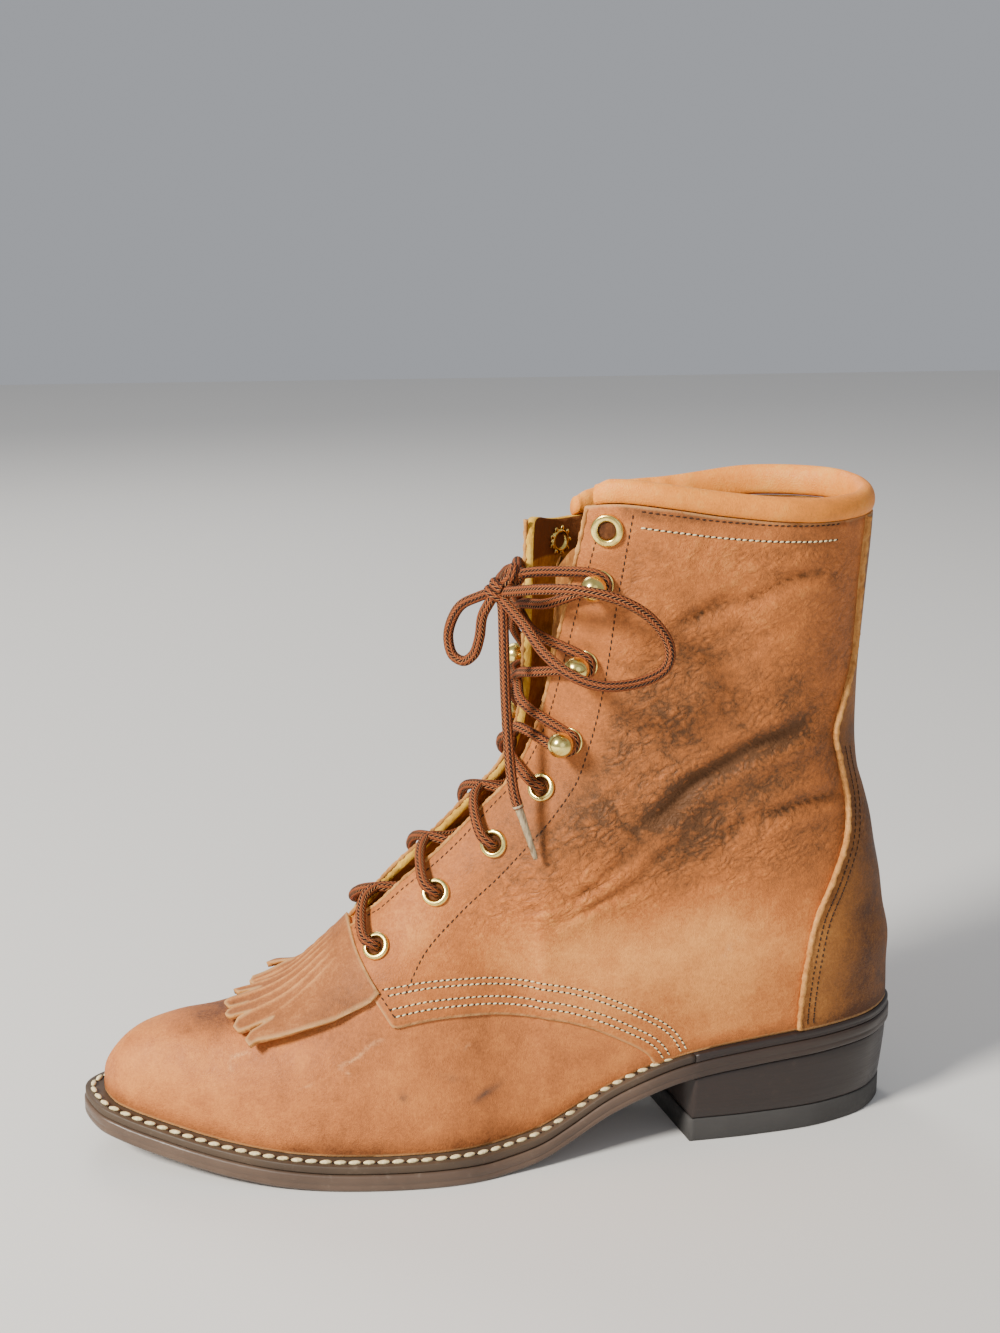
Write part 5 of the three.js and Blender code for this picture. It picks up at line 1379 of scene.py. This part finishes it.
seam = welt_seam()
sewn("welt_stitches", (4.5, 1.9, 1.5), stitches(seam, WELT_PITCH, 6, 0.35), CREAM, "welt")
# Painted shade of the needle holes between the welt stitches.
sewn("welt_holes", (1.0, 1.5, 0.35), holes(seam, WELT_PITCH, 0.05), HOLE_SHADE, "welt")

# Cuff, a padded roll from the lateral facing round the back to the medial one.
CUFF_SECTION = (
    (0.2, 0), (0.36, 0.3), (0.32, 0.68), (0.12, 0.93), (-0.2, 1), (-0.47, 0.84), (-0.6, 0.5), (-0.52, 0.1),
    (-0.2, 0.02),
)
MEDIAL_CUFF_START = 33.0
REAR_RISE = 3.2


def rim_point(share, sign):
    """Point of the upper's cut edge on one side, a share of the way from the front to the back."""
    x, y, z = 60.0, 0.0, 230.0
    for _ in range(6):
        z = float(cut_edge(x, y))
        x = float(mix(front_x(z), back_x(z), share))
        y = sign * float(half_width(x, z))
    return x, y, z


def cuff():
    """Padded roll along the rim, gathered on its inside and raised towards the medial end."""
    path = []
    lateral_gap = float(throat_lateral(1.19)) * SHAFT_WIDTH + 0.5
    medial_gap = float(throat_medial(1.1)) * SHAFT_WIDTH + CUFF_WIDTH
    for sign, gap, start in ((-1, lateral_gap, -SOLE_LENGTH), (1, medial_gap, MEDIAL_CUFF_START)):
        side = [rim_point((1 - math.cos(math.pi * k / 60)) / 2, sign) for k in range(61)]
        side = [p for p in side if (abs(p[1]) > gap and p[0] > start) or p[0] > HEEL_MIDDLE]
        path += side if sign < 0 else side[::-1][1:]
    path = respaced(path, 260)
    along = np.gradient(path[:, :2], axis=0)
    along /= np.linalg.norm(along, axis=1)[:, None]
    out = np.stack([along[:, 1], -along[:, 0]], 1)
    section = spline(CUFF_SECTION, 41, closed=True)
    length = arc(path)
    rings = []
    for k, (p, o) in enumerate(zip(path, out)):
        end = min(length[k], length[-1] - length[k])
        swell = 0.82 + 0.18 * float(smooth(end / 5))
        raised = REAR_RISE * float(smooth((length[k] / length[-1] - 0.4) / 0.2)) * float(smooth(end / 20))
        gather = math.sin(length[k] / 2.1 + 3 * math.sin(length[k] / 11))
        gather *= 0.5 + 0.5 * math.sin(length[k] / 17 + 1)
        ring = []
        for s_out, s_up in section:
            inner = float(smooth((-0.15 - s_out) / 0.3)) + 0.3 * float(smooth((s_up - 0.8) / 0.2))
            reach = (s_out * CUFF_WIDTH - WALL / 2 + OVERLAY) * swell + 0.3 * gather * inner
            x, y = p[0] + o[0] * reach, p[1] + o[1] * reach
            ring.append((x, y, float(cut_edge(x, y)) + 0.4 + s_up * ((CUFF_HEIGHT - 0.4) * swell + raised)))
        rings.append(ring)
    bm, _ = laid_grid(np.array(rings))
    return tidied(bm, 1e-7)


linked("cuff_dressed", mesh_of(cuff(), "cuff_dressed"), CUFF_TAN, ["collar_cuff"])

# Tongue: rough suede behind the laces, its top cut on the slant.
out_of_front = np.gradient(SKIN[:, SIDE, [0, 2]], axis=0)
out_of_front /= np.maximum(np.linalg.norm(out_of_front, axis=1), 1e-9)[:, None]
FRONT_OUT = np.stack([-out_of_front[:, 1], 0 * out_of_front[:, 1], out_of_front[:, 0]], 1)


def front_place(share, y, offset):
    """Skin point at a distance across the front line, moved out along the front's own direction."""
    row = np.interp(share, FRONT_SHARE, np.arange(len(FRONT_SHARE)))
    low = int(min(row, len(SKIN) - 2))
    t = row - low
    near = slice(SIDE // 3, 2 * SIDE + 1 - SIDE // 3)
    points = []
    for k in (low, low + 1):
        line = SKIN[k, near]
        order = np.maximum.accumulate(line[:, 1])
        points.append(np.array([np.interp(y, order, line[:, 0]), y, np.interp(y, order, line[:, 2])]))
    return mix(points[0], points[1], t) + mix(FRONT_OUT[low], FRONT_OUT[low + 1], t) * offset


def tongue():
    rows, cols = 90, 33
    top, bottom = [], []
    for i in range(rows):
        t = i / (rows - 1)
        upper_row, lower_row = [], []
        for j in range(cols):
            side = j / (cols - 1) - 0.5
            share = mix(0.29, 0.855 - 0.035 * side - 0.012 * math.cos(9 * side), t)
            depth = mix(WALL + 0.9, TONGUE_DEPTH, float(smooth(t / 0.2)))
            depth += 0.7 * math.sin(side * 9 + 5 * t) * t + 0.5 * math.sin(t * 21 + side * 3)
            width = TONGUE_WIDTH * mix(0.8, 1, float(smooth(t / 0.5)))
            upper_row.append(front_place(share, side * width, -depth))
            lower_row.append(front_place(share, side * width, -depth - TONGUE_THICKNESS))
        top.append(upper_row)
        bottom.append(lower_row[::-1])
    grid = np.concatenate([np.array(top), np.array(bottom), np.array(top)[:, :1]], axis=1)
    bm, _ = laid_grid(grid)
    return tidied(bm, 1e-7)


linked("tongue_dressed", mesh_of(tongue(), "tongue_dressed"), TONGUE_SUEDE, ["tongue"])

# Eyelets and ball hooks.
SEATED = 0.15


def fitting_places(rows):
    found = []
    for number, row in enumerate(rows, 1):
        for side, sign, shares in (("lateral", -1, row[:2]), ("medial", 1, row[2:])):
            x, z = spot(*shares)
            point, normal = skin_at(x, z, sign, OVERLAY)
            found.append({"number": number, "side": side, "sign": sign, "point": point, "normal": normal})
    return found


eyelet_places, hook_places = fitting_places(EYELETS), fitting_places(HOOKS)


def eyelet_profile(flange, hole):
    """Half section of an eyelet: its barrel, the roll round the hole and the rounded flange."""
    outer, inner = flange / 2, hole / 2
    profile = [(inner, -4.6), (inner, 0.5)]
    for a in np.linspace(0.2, math.pi / 2, 6):
        profile.append((inner + 0.8 - 0.8 * math.cos(a), 0.5 + 0.85 * math.sin(a)))
    for a in np.linspace(0.15, math.pi / 2, 7):
        profile.append((outer - 0.9 + 0.9 * math.sin(a), 0.3 + 1.05 * math.cos(a)))
    profile += [(outer - 0.05, SEATED - 0.1), (inner + 0.9, SEATED - 0.1), (inner + 0.9, -4.6), (inner, -4.6)]
    return profile


def hook_profile():
    """Half section of a ball hook: its disc, neck and ball."""
    profile = [(0.01, SEATED), (4.9, SEATED), (5.05, 0.5), (4.9, 0.85), (4.3, 0.95), (2.2, 0.8), (1.55, 1.1)]
    ball = [(4.5 * math.sin(a), 8.2 - 4.5 * math.cos(a)) for a in np.linspace(0.35, math.pi, 20)]
    return profile + ball[:-1] + [(0.01, 12.7)]


def seats(places, numbers):
    """Matrices of the fittings with some numbers."""
    return [placed_matrix(p["point"], p["normal"]) for p in places if p["number"] in numbers]


def both_sides(kind, count):
    return [f"{kind}_{side}_{n}" for side in ("lateral", "medial") for n in range(1, count + 1)]


ALL_EYELETS, ALL_HOOKS = range(1, 6), range(1, 4)
PETALS, PETAL_CIRCLE, PETAL_DEPTH = 9, 4.6, -4.2
petal_places = []
for k in range(PETALS):
    turn = 2 * math.pi * k / PETALS
    at = Vector((PETAL_CIRCLE * math.cos(turn), PETAL_CIRCLE * math.sin(turn), PETAL_DEPTH)) * MM
    petal_places.append(Matrix.Translation(at) @ Matrix.Rotation(turn, 4, "Z"))
petals = [at @ petal for at in seats(eyelet_places, ALL_EYELETS) for petal in petal_places]
eyelet_parts = [
    repeated(turned(eyelet_profile(10.3, 6.0)), seats(eyelet_places, range(1, 5))),
    repeated(turned(eyelet_profile(11.4, 6.2)), seats(eyelet_places, (5,))),
    repeated(stitch_mesh(2.3, 1.9, 1.0), petals),
]
dark_hole = turned([(0.01, 0.3), (2.6, 0.22), (3.05, 0.1), (3.05, -0.5), (0.01, -0.5)], 20)
hole_bm = repeated(dark_hole, seats(eyelet_places, ALL_EYELETS))
linked("eyelet_holes", mesh_of(hole_bm, "eyelet_holes"), HOLE_SUEDE, ["upper"])
joined("eyelets_dressed", eyelet_parts, BRASS, both_sides("eyelet", 5))
hook_bm = repeated(turned(hook_profile()), seats(hook_places, ALL_HOOKS))
linked("hooks_dressed", mesh_of(hook_bm, "hooks_dressed"), BRASS, both_sides("hook", 3))

# Laces through the eyelets and round the hooks.
FLANGE_TOP = 1.35
UNDER_FACING = -(WALL + OVERLAY) - 1.2 - 0.5 - GAP - LACE_RADIUS
OVER_FLANGE = FLANGE_TOP + GAP + LACE_RADIUS
OVER_DISC = 0.95 + GAP + LACE_RADIUS
ROUND_NECK = 1.5 + 0.85 * LACE_RADIUS


def fitting(rows, number, sign):
    return next(p for p in rows if p["number"] == number and p["sign"] == sign)


def beside(it, along, throatward, up):
    """Point by a fitting: up along the facing, towards the throat, and out along the normal."""
    normal = it["normal"]
    ahead = np.array([-1, 0, 0.35]) - normal * (normal @ np.array([-1, 0, 0.35]))
    ahead /= np.linalg.norm(ahead)
    upward = np.cross(normal, ahead)
    upward = upward if upward[2] > 0 else -upward
    return it["point"] + ahead * throatward + upward * along + normal * up


def share_of(it):
    """Share of the front line that lies nearest to a fitting."""
    shares = np.linspace(0.3, 1, 360)
    gaps = [np.linalg.norm(front_place(s, it["point"][1], OVERLAY) - it["point"]) for s in shares]
    return float(shares[int(np.argmin(gaps))])


SHARES, HEIGHTS = {}, {}
for kind, places, table in (("e", eyelet_places, EYELETS), ("h", hook_places, HOOKS)):
    SHARES.update({(kind, p["number"], p["sign"]): share_of(p) for p in places})
    HEIGHTS.update({(kind, n): row[1] for n, row in enumerate(table, 1)})


def gap_half(side, height):
    return float((throat_lateral if side < 0 else throat_medial)(height)) * SHAFT_WIDTH


TO_KNOT = {
    -1: ((17, -24.5, 214.2), (9.5, -18, 212.9), (4.2, -14.8, 211.4)),
    1: ((8, 4, 212.6), (5.8, -7.5, 212.2), (4.2, -13.6, 211.5)),
}


def strand(first):
    """One lace: up through each eyelet, across the gap and under the other facing, then hook to hook."""
    points = []
    sign = first
    edge = OVERLAY + LACE_RADIUS + GAP
    for n in range(1, 5):
        it = fitting(eyelet_places, n, sign)
        following = ("e", n + 1) if n < 4 else ("h", 1)
        if n > 1:
            points += [beside(it, -1, 3.6, UNDER_FACING - 0.2), beside(it, 0, 0.1, UNDER_FACING + 0.9)]
        points += [beside(it, 0, 0, -WALL - OVERLAY), beside(it, 0, 0, 0.8)]
        points += [beside(it, 0, 0.1, OVER_FLANGE - 0.8), beside(it, 1.4, 3.4, OVER_FLANGE + 0.3)]
        here, there = SHARES["e", n, sign], SHARES[(*following, -sign)]
        near = gap_half(sign, HEIGHTS["e", n])
        far = gap_half(-sign, HEIGHTS["e", n])
        points.append(front_place(mix(here, there, 0.3), sign * (near + 0.6), edge + 0.9))
        points.append(front_place(mix(here, there, 0.52), 0, 1.2))
        if n < 4:
            points.append(front_place(mix(here, there, 0.72), -sign * (far - 2.6), -WALL - LACE_RADIUS - 1.8))
        else:
            points.append(front_place(mix(here, there, 0.78), -sign * (far + 1), edge + 1))
        sign = -sign
    for n in range(1, 4):
        it = fitting(hook_places, n, sign)
        for along, across in ((-1.08, 0.7), (-0.96, -0.48), (0, -1.12), (0.96, -0.48), (1.08, 0.7)):
            points.append(beside(it, along * ROUND_NECK, across * ROUND_NECK, OVER_DISC))
        if n < 3:
            here, there = SHARES["h", n, sign], SHARES["h", n + 1, -sign]
            near = gap_half(sign, HEIGHTS["h", n])
            far = gap_half(-sign, HEIGHTS["h", n + 1])
            points.append(front_place(mix(here, there, 0.3), sign * near, edge + 1.5))
            points.append(front_place(mix(here, there, 0.5), 0, 2.5))
            points.append(front_place(mix(here, there, 0.7), -sign * far, edge + 1.5))
        sign = -sign
    return spline(points + [np.array(p) for p in TO_KNOT[-sign]], 520)


def first_bar():
    """The lace under the lowest pair of eyelets."""
    steps = ((0, 0, -1.2), (0, 0.4, UNDER_FACING + 0.9), (0.6, 4.5, UNDER_FACING - 0.6))
    a, b = (fitting(eyelet_places, 1, sign) for sign in (-1, 1))
    return spline([beside(a, *step) for step in steps] + [beside(b, *step) for step in steps[::-1]], 60)


routes = (strand(-1), strand(1), first_bar())
joined("laces", [tube(route, LACE_RADIUS) for route in routes], BRAID, ["lace_crossings"])

# Bow: knot, loops and ends.
KNOT, HALF_KNOT = np.array([-2, -15, 206.0]), np.array([3.8, -14.3, 211.2])
LOOP_LATERAL = (
    (-1, -17, 206), (4, -27, 208.5), (10, -38, 211), (20, -47, 212), (33, -50, 209), (44, -49.5, 202),
    (50.5, -48.5, 192), (49.5, -48, 185), (42, -49, 181), (28, -50, 180), (18, -46.5, 183), (10, -38, 189),
    (5, -28, 196.5), (-1, -18, 203.5),
)
LOOP_MEDIAL = (
    (-3, -14, 206), (-8, -11, 203.6), (-14, -8, 200), (-17.3, -5, 193), (-18, -4, 187), (-16.5, -5, 181.5),
    (-13, -7, 179.8), (-9.8, -9, 182.5), (-8, -11, 189), (-7, -12, 197), (-3.6, -13.6, 204),
)
END_LATERAL = (
    (-1, -14.8, 204.5), (-0.6, -16.2, 199.2), (-0.8, -18.8, 193), (-1, -22, 183), (-1, -25, 170),
    (-0.6, -28, 156),
    (-0.2, -31, 146), (0.8, -33, 138), (3.2, -34, 130.3), (5.6, -34.3, 122.6), (8, -34.6, 115),
)
END_MEDIAL = (
    (-1.7, -13.5, 206.2), (-1, -8, 206.3), (1, 2, 206), (4, 14, 205.5), (10, 26.5, 205.5), (21, 34.5, 197),
    (28.5, 37.5, 182), (30, 37.5, 168), (29, 37, 152), (27, 36.6, 140), (24, 36, 132), (21.5, 35.6, 123),
)
TIP_LENGTH = 21
# Wraps of the knot: centre, axis, turns, radius, radius of the lace.
WRAPS = (
    (KNOT, (0.5, -0.35, 0.79), 1.6, 3.0, 1.75), (HALF_KNOT, (0.85, -0.2, -0.5), 1.2, 2.3, 1.7),
    (HALF_KNOT, (0.2, 0.9, 0.3), 0.9, 2.2, 1.6),
)


def knot():
    """One wrap of lace round the crossing, two round the half knot, and the lace inside them."""
    wraps = []
    for centre, axis, turns, radius, size in WRAPS:
        axis = Vector(axis).normalized()
        side = axis.orthogonal().normalized()
        up = axis.cross(side)
        line = []
        for t in np.linspace(0, 1, 60):
            a = 2 * math.pi * turns * t
            round_axis = radius * (side * math.cos(a) + up * math.sin(a))
            line.append(Vector(centre) + round_axis + axis * (t - 0.5) * 3.4 * turns)
        wraps.append(tube(np.array(line), size, 12))
    middle = mix(KNOT, HALF_KNOT, 0.5)
    core = spline((KNOT + (-2.4, 0, -2), KNOT, middle, HALF_KNOT, HALF_KNOT + (2, 0, 1.6)), 30)
    wraps.append(tube(core, 2.6, 12))
    return wraps


joined("knot", knot(), BRAID, ["lace_bow"])


def tip_finish():
    """Crinkled pale plastic of the lace tips."""
    paint = Paint("lace_tip", Specular_IOR_Level=0.5, Coat_Weight=0.3)
    crinkle = paint.noise(1, 4, 0.6, paint.stretched((700, 700, 160)))
    colour = paint.mix(paint.range(crinkle, 0.35, 0.65), linear((120, 96, 66)), linear((206, 186, 146)))
    paint.set(Base_Color=colour, Roughness=paint.range(crinkle, 0.2, 0.8, 0.3, 0.55))
    paint.bump(crinkle, 0.5, 0.3)
    return paint.material


TIP = tip_finish()
TIP_PLACES, TIP_RADII = (0, 0.03, 0.08, 0.9, 1), (1.02, 1.04, 0.8, 0.56, 0.46)


def lace_cord(name, points, replaces, tipped=False):
    """A free length of lace, with its tip where it has one."""
    path = spline(points, 160)
    if tipped:
        length = arc(path)
        cut = int(np.searchsorted(length, length[-1] - TIP_LENGTH))
        sleeve = path[cut:]
        taper = LACE_RADIUS * np.interp(np.linspace(0, 1, len(sleeve)), TIP_PLACES, TIP_RADII)
        linked(name + "_tip", mesh_of(tube(sleeve, taper, 14), name + "_tip"), TIP, replaces)
        path = path[: cut + 3]
    made = linked(name, mesh_of(tube(path, LACE_RADIUS), name), BRAID, replaces)


lace_cord("loop_lateral", LOOP_LATERAL, ["lace_bow"])
lace_cord("loop_medial", LOOP_MEDIAL, ["lace_bow"])
lace_cord("end_lateral", END_LATERAL, ["lace_end_lateral"], tipped=True)
lace_cord("end_medial", END_MEDIAL, ["lace_end_medial"], tipped=True)


# Room, light and camera.
def stage():
    """Pale floor and a soft, even world."""
    paint = Paint("pale_floor", Roughness=0.85, Specular_IOR_Level=0.2, Base_Color=linear((226, 224, 220)))
    bm = bmesh.new()
    bmesh.ops.create_grid(bm, x_segments=1, y_segments=1, size=3)
    mesh = mesh_of(bm, "floor")
    floor = bpy.data.objects.new("floor", mesh)
    mesh.materials.append(paint.material)
    bpy.context.scene.collection.objects.link(floor)
    world = bpy.data.worlds.new("studio")
    world.use_nodes = True
    world.node_tree.nodes["Background"].inputs[0].default_value = (0.9, 0.93, 1.0, 1)
    world.node_tree.nodes["Background"].inputs[1].default_value = 0.42
    bpy.context.scene.world = world


def area_light(name, at, aim, size, power, colour):
    data = bpy.data.lights.new(name, "AREA")
    data.shape, data.size, data.energy, data.color = "DISK", size, power, colour
    light = bpy.data.objects.new(name, data)
    bpy.context.scene.collection.objects.link(light)
    light.location = at
    light.rotation_mode = "QUATERNION"
    light.rotation_quaternion = (Vector(aim) - Vector(at)).to_track_quat("-Z", "Y")


stage()
area_light("key", (-1.4, -0.85, 1.3), (0, 0, 0.1), 0.45, 76, (1.0, 0.96, 0.89))
area_light("fill", (0.2, -1.9, 0.8), (0, 0, 0.12), 1.4, 4, (0.95, 0.96, 1.0))
area_light("rim", (-0.3, 1.4, 1.2), (0, 0, 0.15), 0.8, 9, (1.0, 0.98, 0.95))

FOCAL_PIXELS, FRAME_HEIGHT_PIXELS, SENSOR = 1850, 1333, 36
CAMERA_AT = (-100.1, -631.1, 336.0)
CAMERA_RIGHT = (0.9874, -0.1582, 0.0)
CAMERA_UP = (0.0385, 0.2405, 0.9699)
CAMERA_FORWARD = (0.1534, 0.9577, -0.2436)
camera = bpy.data.objects.new("camera", bpy.data.cameras.new("camera"))
camera.data.sensor_fit = "AUTO"
camera.data.sensor_width = SENSOR
camera.data.lens = FOCAL_PIXELS / FRAME_HEIGHT_PIXELS * SENSOR
camera.data.clip_start, camera.data.clip_end = 0.01, 20
bpy.context.scene.collection.objects.link(camera)
back = [-value for value in CAMERA_FORWARD]
turned_rows = zip(CAMERA_RIGHT, CAMERA_UP, back)
rows = [(*row, at * MM) for row, at in zip(turned_rows, CAMERA_AT)]
camera.matrix_world = Matrix(rows + [(0, 0, 0, 1)])
bpy.context.scene.camera = camera
